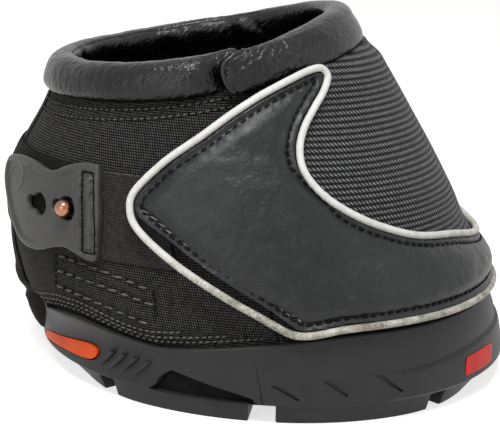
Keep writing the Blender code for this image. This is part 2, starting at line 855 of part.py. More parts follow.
def offset_outline(points, distance):
    """Outline moved inwards, on the left of its direction, by a distance on the body."""
    moved = []
    count = len(points)
    for index, (turn, share) in enumerate(points):
        before, after = points[max(index - 1, 0)], points[min(index + 1, count - 1)]
        per_metre = degrees_per_metre(turn, share * boot_height, overlay_inner)
        along = Vector(((after[0] - before[0]) / per_metre,
                        (after[1] - before[1]) * boot_height)).normalized()
        moved.append((turn - along.y * distance * per_metre,
                      share + along.x * distance / boot_height))
    return moved


def without_loops(points):
    """The same line with each small loop cut off where the line crosses itself."""
    points = [Vector(point) for point in points]
    index = 0
    while index < len(points) - 2:
        for later in range(min(index + loop_points, len(points) - 2), index + 1, -1):
            crossing = intersect_line_line_2d(points[index], points[index + 1],
                                              points[later], points[later + 1])
            if crossing:
                points[index + 1:later + 1] = [crossing]
                break
        index += 1
    return [tuple(point) for point in points]


def make_outer_flap(ribbed, leather, overlay_leather, piping, hooks):
    """Front flap: ribbed body, padded collar, leather overlay, piping and hook patch."""
    line = overlay_outline()
    inset = piping_radius + piping_gap
    edge = without_loops(offset_outline(line, inset))
    near_turn = min(turn for turn, _ in overlay_tip_shares) - outline_margin_turn

    plate = pattern_plate("flap_overlay", (near_turn, overlay_far_turn), (flap_hem, upper_top),
                          (overlay_inner, overlay_outer), (46, 16), boot, overlay_leather)
    beyond = [(edge[-1][0] + sewn_margin_turn, edge[-1][1]),
              (edge[0][0] + sewn_margin_turn, edge[0][1])]
    tool = outline_prism("overlay_outline", to_pattern([*edge, *beyond]),
                         overlay_inner - cut_overrun, overlay_outer + cut_overrun, cutters)
    wrap(apply_boolean(plate, tool, "INTERSECT"))

    tip_start = line_steps * (1 + len(overlay_far_top_shares) + len(overlay_top_shares))
    near = without_loops(offset_outline(line, 2 * inset)[tip_start:])
    body = pattern_plate("flap_body", (near_turn, flap_far_turn), (flap_hem, upper_top),
                         (flap_inner, flap_outer), (30, 10), boot, ribbed)
    frame = [(near[0][0], 1.0), *near, (near[-1][0] + sewn_margin_turn, near[-1][1]),
             (near[-1][0] + sewn_margin_turn, 1.0)]
    tool = outline_prism("flap_outline", to_pattern(frame),
                         flap_inner - cut_overrun, flap_outer + cut_overrun, cutters)
    wrap(apply_boolean(body, tool, "INTERSECT"))

    make_piping(line, piping)
    hook_layer = (loop_outer + fit_gap, flap_inner - fit_gap)
    sheet("hook_patch", hook_turns, [share * boot_height for share in hook_height_shares],
          hook_layer, (4, 3), hooks)
    make_flap_collar(leather)


def make_piping(line, material):
    """Round piping along the overlay's edge."""
    offset = overlay_outer - piping_radius
    places = [body_point(turn, share * boot_height, offset) for turn, share in line]
    kept = [places[0]]
    for place in places[1:-1]:
        if (place - kept[-1]).length > piping_step:
            kept.append(place)
    kept.append(places[-1])
    curve = bpy.data.curves.new("flap_piping", "CURVE")
    curve.dimensions = "3D"
    curve.bevel_depth = piping_radius
    curve.bevel_resolution = 1
    curve.use_fill_caps = True
    spline = curve.splines.new("POLY")
    spline.points.add(len(kept) - 1)
    for place, point in zip(kept, spline.points):
        point.co = (*place, 1)
    guide = bpy.data.objects.new("piping_curve", curve)
    item = curve_to_mesh(guide, "flap_piping", boot, material)
    item.data.shade_smooth()


def make_flap_collar(leather):
    """Padded roll along the flap's top, flattened where it laps the fixed collar."""
    gap_turn = hinge_gap / 2 * degrees_per_metre(collar_hinge_turn(), heel_collar_height, 0)
    turns = turn_steps(flap_collar_near_turn, collar_hinge_turn() - gap_turn, collar_step_turn)

    def section(half):
        return roll_section(half, collar_depth / 2, -90, 270, 13)[:-1]

    rings = roll_rings(turns, flap_collar_shape, section)
    centre, half = flap_collar_shape(turns[0])
    middle = collar_top(turns[0]) - collar_depth / 2
    end_turn = turns[0] - half * degrees_per_metre(turns[0], middle, centre)
    out_share, up_share = flap_end_shares
    end = [body_point(end_turn, middle + up * up_share, centre + out * out_share)
           for out, up in section(half)]
    loft("flap_collar", [end, *rings], boot, leather)


def seam_sheet(name, foot_place, side, outer, material):
    """Seam tape behind a flap's sewn edge, thin at its back edge."""
    def back(height):
        place = hinge_place(foot_place, height) - hinge_gap / 2 - seam_width
        return turn_at(place, height, fit_gap, side)

    def front(height):
        place = hinge_place(foot_place, height) - hinge_gap / 2
        return turn_at(place, height, outer, side)

    def face(turn, height):
        rise = smoothstep((turn - back(height)) / (front(height) - back(height)))
        return loop_outer + (outer - loop_outer) * rise

    turns = (back, front) if side < 0 else (front, back)
    sheet(name, turns, (flap_hem, upper_top), (fit_gap, face), (3, 8), material)


def make_inner_flap(cloth, tape):
    """Inner flap under the outer one, and the seam tapes of both."""
    sheet("inner_flap", (inner_flap_near_turn, inner_flap_far_turn), (flap_hem, upper_top),
          (inner_flap_inner, inner_flap_outer), (20, 9), cloth)
    seam_sheet("inner_flap_seam", inner_flap_hinge_place, -1, inner_flap_outer, tape)
    seam_sheet("flap_seam", flap_hinge_place, 1, flap_outer, tape)


# Latch


def local_circle(turn, height, radius, count, start=0.0, end=360.0):
    """Pattern places of an arc with a real radius on the body."""
    per_metre = degrees_per_metre(turn, height, tab_outer)
    places = []
    for index in range(count):
        angle = math.radians(start + (end - start) * index / count)
        places.append(((turn + radius * math.cos(angle) * per_metre) / full_turn * pattern_turn,
                       height + radius * math.sin(angle)))
    return places


def keyhole(turn, height):
    """Pattern places of a keyhole: a large lobe and, towards the heel, a small one."""
    shift = hole_step * degrees_per_metre(turn, height, tab_outer)
    squares = large_hole_radius**2 - small_hole_radius**2
    large_meet = math.degrees(math.acos(
        (hole_step**2 + squares) / (2 * hole_step * large_hole_radius)))
    small_meet = math.degrees(math.acos(
        (hole_step**2 - squares) / (2 * hole_step * small_hole_radius)))
    large = local_circle(turn, height, large_hole_radius, 12,
                         large_meet - half_turn, half_turn - large_meet)
    small = local_circle(turn - shift, height, small_hole_radius, 7,
                         small_meet, full_turn - small_meet)
    return [*large, *small]


def make_latch(rubber, metal):
    """Rubber latch tab with two keyholes, and the stud that holds it."""
    outline = to_pattern(smooth_line(tab_outline_shares, closed=True, steps=2))
    xs = [place[0] for place in outline]
    turns = [edge / pattern_turn * full_turn for edge in (min(xs), max(xs))]
    turns = (turns[0] - outline_margin_turn, turns[1] + outline_margin_turn)
    heights = [share * boot_height for share in tab_plate_shares]
    tab = pattern_plate("latch_tab", turns, heights, (tab_inner, tab_outer), (14, 5), boot,
                        rubber)
    tool = outline_prism("tab_outline", outline, tab_inner - cut_overrun,
                         tab_outer + cut_overrun, cutters)
    apply_boolean(tab, tool, "INTERSECT")
    for number, (turn, share) in enumerate(keyhole_shares):
        tool = outline_prism(f"keyhole_{number}", keyhole(turn, share * boot_height),
                             tab_inner - cut_overrun, tab_outer + cut_overrun, cutters)
        apply_boolean(tab, tool, "DIFFERENCE")
    turn, share = boss_share
    boss = outline_prism("tab_boss", local_circle(turn, share * boot_height, tab_boss_radius, 14),
                         tab_outer - union_sink, tab_outer + tab_boss_height, cutters)
    wrap(apply_boolean(tab, boss, "UNION"), place=normal_point)
    make_stud(metal)


def make_stud(metal):
    """Turned stud: a foot on the heel strap, a neck through the keyhole and a ball head."""
    turn, share = stud_share
    height = share * boot_height
    foot = strap_outer + fit_gap
    neck_top = tab_outer + fit_gap
    sink = math.sqrt(stud_head_radius**2 - stud_neck_radius**2)
    centre = neck_top + sink
    bpy.ops.mesh.primitive_circle_add(vertices=3, radius=stud_head_radius)
    stud = bpy.context.object
    stud.name = "stud"
    profile = [(0.0, centre + stud_head_radius)]
    start = math.degrees(math.asin(sink / stud_head_radius))
    for index in range(1, stud_head_steps + 1):
        angle = math.radians(90 - (90 + start) * index / stud_head_steps)
        profile.append((stud_head_radius * math.cos(angle),
                        centre + stud_head_radius * math.sin(angle)))
    profile += [(stud_neck_radius, foot + stud_foot_thickness),
                (stud_foot_radius, foot + stud_foot_thickness),
                (stud_foot_radius, foot), (0.0, foot)]
    bm = bmesh.new()
    verts = [bm.verts.new((radius, 0, up)) for radius, up in profile]
    for a, b in zip(verts, verts[1:]):
        bm.edges.new((a, b))
    bm.to_mesh(stud.data)
    bm.free()
    for collection in list(stud.users_collection):
        collection.objects.unlink(stud)
    boot.objects.link(stud)
    screw = stud.modifiers.new("turn", "SCREW")
    screw.steps = screw.render_steps = 18
    screw.use_merge_vertices = True
    screw.merge_threshold = merge_distance
    stud.data.materials.append(metal)
    base = body_point(turn, height, 0)
    stud.location = base
    stud.rotation_mode = "QUATERNION"
    stud.rotation_quaternion = surface_normal(turn, height).to_track_quat("Z", "Y")
    stud.data.shade_smooth()


def surface_normal(turn, height):
    """Outward direction of the body at a point."""
    side = body_point(turn + probe_turn, height, 0) - body_point(turn - probe_turn, height, 0)
    up = body_point(turn, height + probe_height, 0) - body_point(turn, height - probe_height, 0)
    return side.cross(up).normalized()


# Joints


def tab_hinge_line():
    """Two points of the latch tab's hinge line, along its sewn edge."""
    turn = max(turn for turn, _ in tab_outline_shares)
    return [normal_point(turn, share * boot_height, tab_outer) for share in strap_height_shares]


def make_pivot(name, ends, members):
    """Empty on a hinge line that carries the pieces that swing with it."""
    pivot = bpy.data.objects.new(name, None)
    boot.objects.link(pivot)
    pivot.location = ends[0]
    pivot.rotation_mode = "QUATERNION"
    pivot.rotation_quaternion = (ends[1] - ends[0]).to_track_quat("Z", "Y")
    bpy.context.view_layer.update()
    for member in members:
        item = bpy.data.objects[member]
        item.parent = pivot
        item.matrix_parent_inverse = pivot.matrix_world.inverted()
    return pivot


def hinge_lines():
    """Hinge lines of the outer flap, the inner flap and the latch tab."""
    flap_heights = (toe_wall_height, upper_top(collar_hinge_turn()))
    return {
        "outer_flap": hinge_line(flap_hinge_place, overlay_outer, 1, flap_heights),
        "inner_flap": hinge_line(inner_flap_hinge_place, inner_flap_outer, -1, flap_heights),
        "latch_tab": tab_hinge_line(),
    }


def main():
    """Build the boot."""
    clear_scene()
    rubber = make_material("moulded_rubber", (0.045, 0.046, 0.048), 0.50)
    tab_rubber = make_material("tab_rubber", (0.068, 0.068, 0.066), 0.45)
    cloth = make_material("woven_nylon", (0.020, 0.020, 0.020), 0.85)
    ribbed = make_material("ribbed_nylon", (0.028, 0.028, 0.028), 0.80)
    leather = make_material("collar_leather", (0.016, 0.016, 0.016), 0.38)
    overlay_leather = make_material("overlay_leather", (0.034, 0.038, 0.040), 0.45)
    piping = make_material("reflective_piping", (0.62, 0.62, 0.58), 0.50)
    tape = make_material("seam_tape", (0.018, 0.018, 0.018), 0.80)
    lining = make_material("lining_cloth", (0.030, 0.030, 0.030), 0.90)
    foam = make_material("foam", (0.10, 0.10, 0.10), 0.95)
    webbing = make_material("webbing", (0.024, 0.024, 0.024), 0.80)
    elastic = make_material("elastic", (0.022, 0.022, 0.022), 0.80)
    hooks = make_material("hook_and_loop", (0.015, 0.015, 0.015), 0.95)
    mesh_cloth = make_material("mesh_cloth", (0.012, 0.012, 0.012), 0.90)
    orange = make_material("orange_rubber", (0.81, 0.10, 0.023), 0.45)
    red = make_material("red_rubber", (0.75, 0.06, 0.05), 0.45)
    copper = make_material("copper", (0.72, 0.38, 0.25), 0.25, 1.0)

    make_outsole(rubber)
    make_insole(foam)
    make_wall_pieces(orange, red, mesh_cloth)
    make_upper(cloth, tape, lining)
    make_straps(webbing, elastic, leather, hooks)
    make_collar(leather, foam)
    make_inner_flap(cloth, tape)
    make_outer_flap(ribbed, leather, overlay_leather, piping, hooks)
    make_latch(tab_rubber, copper)

    lines = hinge_lines()
    make_pivot("outer_flap_pivot", lines["outer_flap"],
               ("flap_body", "flap_overlay", "flap_piping", "flap_collar", "hook_patch"))
    make_pivot("inner_flap_pivot", lines["inner_flap"], ("inner_flap",))
    make_pivot("latch_tab_pivot", lines["latch_tab"], ("latch_tab",))


main()
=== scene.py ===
"""Horse hoof boot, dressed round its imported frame.

The toe points along +X, the latch tab's side faces -Y and the boot stands on z = 0. Every layer
of the upper is drawn flat, with x as the turn round the body in degrees and y as the height, and
is then moved on to the body. Lengths are in metres, angles in degrees, colours in sRGB hex.
"""

import functools
import math

import bmesh
import bpy
import numpy as np
from mathutils import Matrix, Vector, noise


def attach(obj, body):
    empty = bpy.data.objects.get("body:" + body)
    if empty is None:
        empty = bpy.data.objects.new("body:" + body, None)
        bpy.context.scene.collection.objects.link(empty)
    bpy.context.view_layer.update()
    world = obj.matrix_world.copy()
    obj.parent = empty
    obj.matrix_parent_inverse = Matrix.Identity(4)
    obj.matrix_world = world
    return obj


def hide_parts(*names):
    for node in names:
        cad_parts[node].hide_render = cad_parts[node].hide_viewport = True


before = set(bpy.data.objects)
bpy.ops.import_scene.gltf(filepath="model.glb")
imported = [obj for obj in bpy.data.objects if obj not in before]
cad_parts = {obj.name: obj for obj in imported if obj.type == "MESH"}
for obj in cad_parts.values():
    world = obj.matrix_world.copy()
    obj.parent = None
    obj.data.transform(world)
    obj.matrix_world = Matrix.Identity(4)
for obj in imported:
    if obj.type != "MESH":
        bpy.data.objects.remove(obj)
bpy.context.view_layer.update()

MM = 0.001

# The body's own sizes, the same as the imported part's
SOLE_LENGTH = 0.150
SOLE_WIDTH = 0.142
BOOT_HEIGHT = 0.115
HEEL_COLLAR_HEIGHT = 0.097
TREAD_DEPTH = 0.006
FLOOR_HEIGHT = TREAD_DEPTH + 0.003
HEEL_WALL_HEIGHT = 0.0175
TOE_WALL_HEIGHT = 0.0275
HEEL_COUNTER_RISE = 0.006
COUNTER_TURNS = (117, 22)
COUNTER_DROP_TURNS = (142, 24)
COUNTER_DROP = 0.8
TOE_CAP_TURN = 70
WALL_TOP = 0.0031
WALL_OUTER = 0.0038
SOLE_GAP = 0.0007
CLOTH_FOOT = FLOOR_HEIGHT + 0.3 * MM
COLLAR_DEPTH = 0.0115
COLLAR_THICKNESS = 0.010
COLLAR_INSET = 0.0008
COLLAR_CORNERS = (6.0, 2.2)
FIXED_COLLAR_START = -77.0
FLAP_COLLAR_START = -84.6
FLAP_HINGE_PLACE = 0.012
INNER_HINGE_PLACE = 0.014
HINGE_GAP = 0.0005
HINGE_LEAN = 0.25
OVERLAY_UNDER = 5.3 * MM
PIPING_OFFSET = 0.0066
PIPING_RADIUS = 0.0011
TAB_LEVEL = 3 * MM
TAB_SEAM_MIDDLE = 55.7 * MM
TAB_SEAM_HALF = 11 * MM
HEEL_TAPE_HALF_WIDTHS = (12.6 * MM, 7 * MM)
RIB_HALF_WIDTH = 0.78
RIB_LEAN = 4

# Share of the height, then toe reach, heel reach, half width and middle place as shares of the
# sole's length and, for the half width, of its width
BODY_SECTIONS = (
    (0.078, 0.460, 0.488, 0.474, 0.000),
    (0.157, 0.448, 0.497, 0.477, 0.000),
    (0.200, 0.439, 0.545, 0.479, -0.013),
    (0.261, 0.417, 0.565, 0.473, -0.027),
    (0.348, 0.394, 0.580, 0.460, -0.047),
    (0.435, 0.347, 0.587, 0.439, -0.067),
    (0.522, 0.310, 0.582, 0.415, -0.087),
    (0.609, 0.272, 0.555, 0.387, -0.113),
    (0.696, 0.231, 0.519, 0.356, -0.140),
    (0.783, 0.189, 0.493, 0.330, -0.167),
    (0.870, 0.147, 0.477, 0.313, -0.187),
    (0.974, 0.100, 0.463, 0.306, -0.193),
)

# Outlines on the body: turns, and heights as shares of the boot's height
OVERLAY_TIP = (
    (-77.7, 0.800), (-87.8, 0.752), (-101.9, 0.674), (-108.4, 0.626), (-113.8, 0.569),
    (-115.1, 0.526), (-113.7, 0.478), (-107.3, 0.409), (-100.1, 0.348), (-93.6, 0.298),
)
OVERLAY_HEM_TURNS = (-86.0, -74.0, -60.0, -45.0, -30.0, -15.0, 0.0, 15.0, 30.0, 45.0, 60.0)
OVERLAY_TOP = (
    (0.0, 0.385), (-14.0, 0.402), (-29.0, 0.433), (-45.0, 0.458), (-56.0, 0.494),
    (-63.5, 0.532), (-69.0, 0.577), (-71.6, 0.632), (-70.2, 0.685), (-66.2, 0.733),
    (-60.4, 0.778), (-54.5, 0.818), (-50.9, 0.851), (-52.3, 0.871), (-57.4, 0.866),
    (-63.8, 0.849), (-70.6, 0.827),
)
OVERLAY_FAR_TOP = (
    (14.0, 0.405), (29.0, 0.438), (45.0, 0.465), (56.0, 0.500), (63.0, 0.540),
)
TAB_OUTLINE = (
    (-125.9, 0.603), (-125.2, 0.595), (-124.6, 0.545), (-124.3, 0.490), (-124.9, 0.445),
    (-126.2, 0.380), (-128.2, 0.370), (-131.2, 0.379), (-135.0, 0.390), (-139.0, 0.383),
    (-143.5, 0.368), (-148.5, 0.362), (-153.0, 0.375), (-157.0, 0.415), (-160.5, 0.468),
    (-164.0, 0.510), (-165.3, 0.540), (-163.8, 0.562), (-156.0, 0.576), (-148.5, 0.575),
    (-140.5, 0.566), (-135.0, 0.588), (-130.0, 0.602),
)
INLAY_OUTLINE = (
    (-167.6, 0.066), (-166.0, 0.078), (-161.0, 0.094), (-154.0, 0.107), (-146.0, 0.122),
    (-140.0, 0.131), (-137.3, 0.127), (-136.6, 0.113), (-138.3, 0.091), (-142.1, 0.082),
    (-148.4, 0.079), (-156.4, 0.071), (-163.0, 0.063), (-166.5, 0.060),
)
DRAIN_OUTLINE = (
    (-119.5, 0.058), (-119.5, 0.075), (-118.5, 0.095), (-116.5, 0.111), (-115.0, 0.112),
    (-107.0, 0.093), (-99.0, 0.074), (-98.0, 0.066), (-98.5, 0.058),
)
LUG_TURNS = ((-166, -138), (-133, -98.7), (-92.5, -52), (-47, 47), (52, 92.5), (98.7, 133),
             (138, 166))
RIB_FEET = ((-135.6, 0.088), (-132.3, 0.088), (-129.0, 0.087), (-125.7, 0.085))

# Heights in mm
TOE_MARK_OUTLINE = (
    (-41.5, 9.6), (-40.4, 13.6), (-39.3, 14.5), (-33.0, 14.7), (-27.0, 14.5), (-26.0, 13.6),
    (-27.4, 9.8), (-28.6, 9.1), (-34.5, 9.0), (-40.4, 9.0),
)
SLASHES = (((-93.5, 12.2), (-87.8, 8.2)), ((-82.0, 14.0), (-76.4, 9.2)),
           ((-69.3, 15.0), (-62.6, 9.2)))
PARTING = ((-97.3, 18.0), (-95.6, 6.6), (-95.3, 6.6), (-97.0, 18.0))


# Body surface


def smooth_lookup(rows, key):
    """Values at a key, on a smooth curve through the rows, whose first value is the key."""
    key = min(max(key, rows[0][0]), rows[-1][0])
    last = len(rows) - 1
    at = max(index for index in range(last) if rows[index][0] <= key)

    def slope(index, column):
        before, after = max(index - 1, 0), min(index + 1, last)
        rise = rows[after][column] - rows[before][column]
        return rise / (rows[after][0] - rows[before][0])

    step = rows[at + 1][0] - rows[at][0]
    t = (key - rows[at][0]) / step
    return [(2 * t**3 - 3 * t**2 + 1) * rows[at][column]
            + (3 * t**2 - 2 * t**3) * rows[at + 1][column]
            + (t**3 - 2 * t**2 + t) * step * slope(at, column)
            + (t**3 - t**2) * step * slope(at + 1, column)
            for column in range(1, len(rows[0]))]


TABLE_SHARES = np.linspace(0.06, 1.0, 400)
SECTION_TABLE = np.array([smooth_lookup(BODY_SECTIONS, share) for share in TABLE_SHARES])
SECTION_TABLE *= (SOLE_LENGTH, SOLE_LENGTH, SOLE_WIDTH, SOLE_LENGTH)


def section_at(height):
    """Toe reach, heel reach, half width and middle place of the body's plan at a height."""
    share = np.asarray(height) / BOOT_HEIGHT
    return [np.interp(share, TABLE_SHARES, SECTION_TABLE[:, column]) for column in range(4)]


def on_body(turn, height, offset=0.0):
    """Points over the body's side for turns, heights and level offsets."""
    turn, height, offset = np.broadcast_arrays(*(np.asarray(v, float) for v in
                                                 (turn, height, offset)))
    toe, heel, half, middle = section_at(height)
    along, across = np.cos(np.radians(turn)), np.sin(np.radians(turn))
    reach = np.where(along >= 0, toe - middle, heel + middle)
    return np.stack([middle + (reach + offset) * along, (half + offset) * across, height], -1)


def on_line(line, offset=0.0):
    """Points over the body for a line of turns and heights."""
    return on_body(line[:, 0], line[:, 1], offset)


def out_of_body(turn, height):
    """Unit directions square to the body's surface."""
    turn, height = np.asarray(turn), np.asarray(height)
    out = np.cross(on_body(turn + 0.5, height) - on_body(turn - 0.5, height),
                   on_body(turn, height + 0.5 * MM) - on_body(turn, height - 0.5 * MM))
    return out / np.linalg.norm(out, axis=-1, keepdims=True)


def out_along_normal(turn, height, offset):
    """Points moved out square to the body's surface."""
    offset = np.broadcast_to(offset, np.shape(turn))
    return on_body(turn, height) + out_of_body(turn, height) * offset[:, None]


def metres_per_degree(turn, height):
    """Length along the body's surface of one degree of turn."""
    step = on_body(np.asarray(turn) + 0.5, height) - on_body(np.asarray(turn) - 0.5, height)
    return np.linalg.norm(step, axis=-1)


def smoothstep(share):
    """Soft rise from 0 to 1."""
    share = np.clip(share, 0.0, 1.0)
    return share * share * (3 - 2 * share)


def ridge(distance, width):
    """1 on a line and 0 away from it, at distances from it."""
    return np.exp(-(distance / width) ** 2)


def window(value, low, high, fade):
    """1 between two values and 0 outside them, with soft ends."""
    return smoothstep((value - low) / fade) * smoothstep((high - value) / fade)


def forward_share(turn):
    """1 at the toe and 0 at the heel."""
    return (1 + np.cos(np.radians(turn))) / 2


def wall_height(turn):
    """Height of the sole's lip, highest at the toe and raised again round the heel."""
    rise = smoothstep(1.54 * forward_share(turn) - 0.105)
    back = 180 - abs(180 - abs(turn))
    counter, drop = (smoothstep((back - start) / length)
                     for start, length in (COUNTER_TURNS, COUNTER_DROP_TURNS))
    return HEEL_WALL_HEIGHT + (TOE_WALL_HEIGHT - HEEL_WALL_HEIGHT) * rise \
        + HEEL_COUNTER_RISE * counter * (1 - COUNTER_DROP * drop)


def collar_top(turn):
    """Height of the collar's top line."""
    forward = forward_share(turn)
    rise = 0.35 * forward + 0.65 * forward**2
    return HEEL_COLLAR_HEIGHT + (BOOT_HEIGHT - HEEL_COLLAR_HEIGHT) * rise


def hinge_turn(foot_place, height, offset, side, shift=HINGE_GAP / 2):
    """Turn of a flap's sewn edge on one side, which leans back as it rises."""
    place = foot_place - HINGE_LEAN * (height - TOE_WALL_HEIGHT) + shift
    toe, heel, _, middle = section_at(height)
    reach = np.where(place >= middle, toe - middle, heel + middle) + offset
    return side * np.degrees(np.arccos((place - middle) / reach))


def flap_far_turn(height, offset=3.2 * MM):
    """Far edge of a layer of the outer flap."""
    return float(hinge_turn(FLAP_HINGE_PLACE, height, offset, 1))


def collar_hinge_turn():
    """Turn at which the flap's collar parts from the fixed one."""
    turn = 0.0
    for _ in range(6):
        turn = float(hinge_turn(FLAP_HINGE_PLACE, collar_top(turn) - COLLAR_DEPTH / 2,
                                -COLLAR_INSET, 1, 0.0))
    return turn


def upper_top(turn):
    """Top edge of the cloth under the collar."""
    return collar_top(turn) - COLLAR_DEPTH - 0.3 * MM


def rolled_top(turn):
    """Top edge of cloth that runs up into the fixed collar, where there is one."""
    turn = np.where(np.asarray(turn) > 180, np.asarray(turn) - 360, turn)
    fixed = np.where(turn < 0, smoothstep((-78 - turn) / 4), smoothstep((turn - 56) / 4))
    return upper_top(turn) + 2.2 * MM * fixed


def flap_hem(turn):
    """Lower edge of the flaps, just over the sole's lip."""
    return wall_height(turn) + 0.7 * MM


def smooth_line(points, closed, steps):
    """More points on a smooth curve through a few."""
    count = len(points)
    line = []
    for index in range(count if closed else count - 1):
        four = [points[at % count if closed else min(max(at, 0), count - 1)]
                for at in range(index - 1, index + 3)]
        for step in range(steps):
            t = step / steps
            line.append(tuple(
                (2 * b + (c - a) * t + (2 * a - 5 * b + 4 * c - d) * t**2
                 + (3 * b - a - 3 * c + d) * t**3) / 2
                for a, b, c, d in zip(*four)))
    return line if closed else [*line, tuple(points[-1])]


def even_line(points, spacing, closed=False):
    """Turn and height points at even spacing along the body through given ones."""
    points = np.array([*points, points[0]] if closed else points, float)
    gaps = np.linalg.norm(np.diff(on_line(points), axis=0), axis=1)
    reach = np.concatenate([[0], np.cumsum(gaps)])
    steps = np.linspace(0, reach[-1], max(2, round(reach[-1] / spacing)) + 1)
    if closed:
        steps = steps[:-1]
    return np.stack([np.interp(steps, reach, points[:, axis]) for axis in (0, 1)], -1)


def closed_run(line, level):
    """Places along a closed line, square above the body."""
    line = np.vstack([line, line[:1]])
    return out_along_normal(line[:, 0], line[:, 1], level)


def scaled(points, unit=BOOT_HEIGHT):
    """Turn and height in metres from turn and a height in a unit."""
    return [(turn, height * unit) for turn, height in points]


def flip(points):
    """The same outline on the far side, in the same direction."""
    return [(-turn, height) for turn, height in reversed(points)]


def both_sides(outline):
    """An outline on the near side and its mirror on the far one."""
    return outline, flip(outline)


def distance_to(places, line):
    """Distance from each place to a line of places."""
    start, step = line[:-1], np.diff(line, axis=0)
    squares = (step**2).sum(1)
    nearest = np.full(len(places), np.inf)
    for first in range(0, len(places), 2000):
        part = places[first:first + 2000, None]
        share = np.clip(((part - start) * step).sum(2) / squares, 0, 1)
        gap = np.linalg.norm(part - start - step * share[..., None], axis=2)
        nearest[first:first + 2000] = gap.min(1)
    return nearest


def kept_inside(line, distance):
    """Line moved to the left of its direction, without the loops at tight corners."""
    scale = metres_per_degree(line[:, 0], line[:, 1])
    along = np.gradient(line, axis=0)
    along = np.stack([along[:, 0] * scale, along[:, 1]], -1)
    along /= np.linalg.norm(along, axis=1, keepdims=True)
    moved = np.stack([line[:, 0] - along[:, 1] * distance / scale,
                      line[:, 1] + along[:, 0] * distance], -1)
    return moved[distance_to(on_line(moved), on_line(line)) > 0.96 * distance]


def soft_noise(places, size, seed=0.0):
    """Smooth noise between about -1 and 1 with features of a real size."""
    shift = Vector((seed, seed * 0.7, seed * 1.3))
    return np.array([noise.noise(Vector(place) / size + shift) for place in places])


# Mesh helpers


def add_shape(kind, name, **settings):
    """Primitive under its own name, with nothing else selected."""
    bpy.ops.object.select_all(action="DESELECT")
    group = bpy.ops.curve if kind.endswith("curve") else bpy.ops.mesh
    getattr(group, f"primitive_{kind}_add")(**settings)
    item = bpy.context.object
    item.name = item.data.name = name
    return item


def read_points(item):
    """All points of a mesh as an array."""
    co = np.empty(len(item.data.vertices) * 3)
    item.data.vertices.foreach_get("co", co)
    return co.reshape(-1, 3)


def write_points(item, co):
    """Move all points of a mesh."""
    item.data.vertices.foreach_set("co", np.ascontiguousarray(co, dtype=float).ravel())
    item.data.update()


def write_cloth_map(item, turn, height, turn_zero):
    """UV map in metres: x along the cloth from a turn, y up it."""
    across = (turn - turn_zero) * metres_per_degree(turn, height)
    layer = item.data.uv_layers.active or item.data.uv_layers.new(name="UVMap")
    corners = np.empty(len(item.data.loops), int)
    item.data.loops.foreach_get("vertex_index", corners)
    layer.data.foreach_set("uv", np.stack([across, height], -1)[corners].ravel())


def use_only(item):
    """Select one object and make it active."""
    bpy.ops.object.select_all(action="DESELECT")
    item.select_set(True)
    bpy.context.view_layer.objects.active = item


def edit(item, *steps):
    """Run mesh operators, each a name and its settings, on all of a piece."""
    use_only(item)
    bpy.ops.object.mode_set(mode="EDIT")
    for name, settings in steps:
        bpy.ops.mesh.select_all(action="SELECT")
        getattr(bpy.ops.mesh, name)(**settings)
    bpy.ops.object.mode_set(mode="OBJECT")


def outward(item, fill=False):
    """Weld a shell, close its open loops if asked, and turn its faces out."""
    closing = [("fill_holes", {"sides": 0})] if fill else []
    edit(item, ("remove_doubles", {"threshold": 0.01 * MM}), *closing,
         ("normals_make_consistent", {"inside": False}))


def extrude_up(item, distance):
    """Extrude a flat shape along Z."""
    edit(item, ("extrude_region_move", {"TRANSFORM_OT_translate": {"value": (0, 0, distance)}}))


def shade(item, angle=40):
    """Smooth shading with crisp edges past an angle."""
    use_only(item)
    bpy.ops.object.shade_smooth_by_angle(angle=math.radians(angle))


def apply_modifier(item, kind, **settings):
    """Add one modifier and keep its result."""
    use_only(item)
    modifier = item.modifiers.new(kind.lower(), kind)
    for key, value in settings.items():
        setattr(modifier, key, value)
    bpy.ops.object.modifier_apply(modifier=modifier.name)
    return item


def round_edges(item, width, segments=2):
    """Bevel the edges that turn by more than 50 degrees."""
    return apply_modifier(item, "BEVEL", width=width, segments=segments, limit_method="ANGLE",
                          angle_limit=math.radians(50))


def cut(item, tool, operation="DIFFERENCE"):
    """Boolean with a tool that is then removed."""
    apply_modifier(item, "BOOLEAN", operation=operation, object=tool)
    bpy.data.objects.remove(tool, do_unlink=True)
    return item


def joined(items):
    """Several shells as one object."""
    use_only(items[0])
    for item in items:
        item.select_set(True)
    bpy.ops.object.join()
    return items[0]


def add_grid(name, columns, rows):
    """Grid and the shares across and up of its points."""
    item = add_shape("grid", name, x_subdivisions=columns, y_subdivisions=rows, size=2)
    co = read_points(item)
    return item, (co[:, 0] + 1) / 2, (co[:, 1] + 1) / 2


def cloth_panel(name, turns, heights, cell, rule, thickness, turn_zero=0.0):
    """Panel of cloth between two turns and two heights, which may be functions."""
    low_turn, high_turn, low, high = (
        edge if callable(edge) else (lambda at, e=edge: e + 0 * at)
        for edge in (*turns, *heights))
    middle = BOOT_HEIGHT / 2
    start, end = low_turn(middle), high_turn(middle)
    columns = round(float(end - start) * MM / cell)
    rows = round(float(high((start + end) / 2) - low((start + end) / 2)) / cell)
    item, across, up = add_grid(name, columns, max(rows, 2))
    height = np.full(len(up), middle)
    for _ in range(6):
        turn = low_turn(height) + (high_turn(height) - low_turn(height)) * across
        height = low(turn) + (high(turn) - low(turn)) * up
    write_points(item, on_body(turn, height, rule(turn, height) if callable(rule) else rule))
    write_cloth_map(item, turn, height, turn_zero)
    apply_modifier(item, "SOLIDIFY", thickness=thickness, offset=-1)
    outward(item)
    shade(item)
    return item


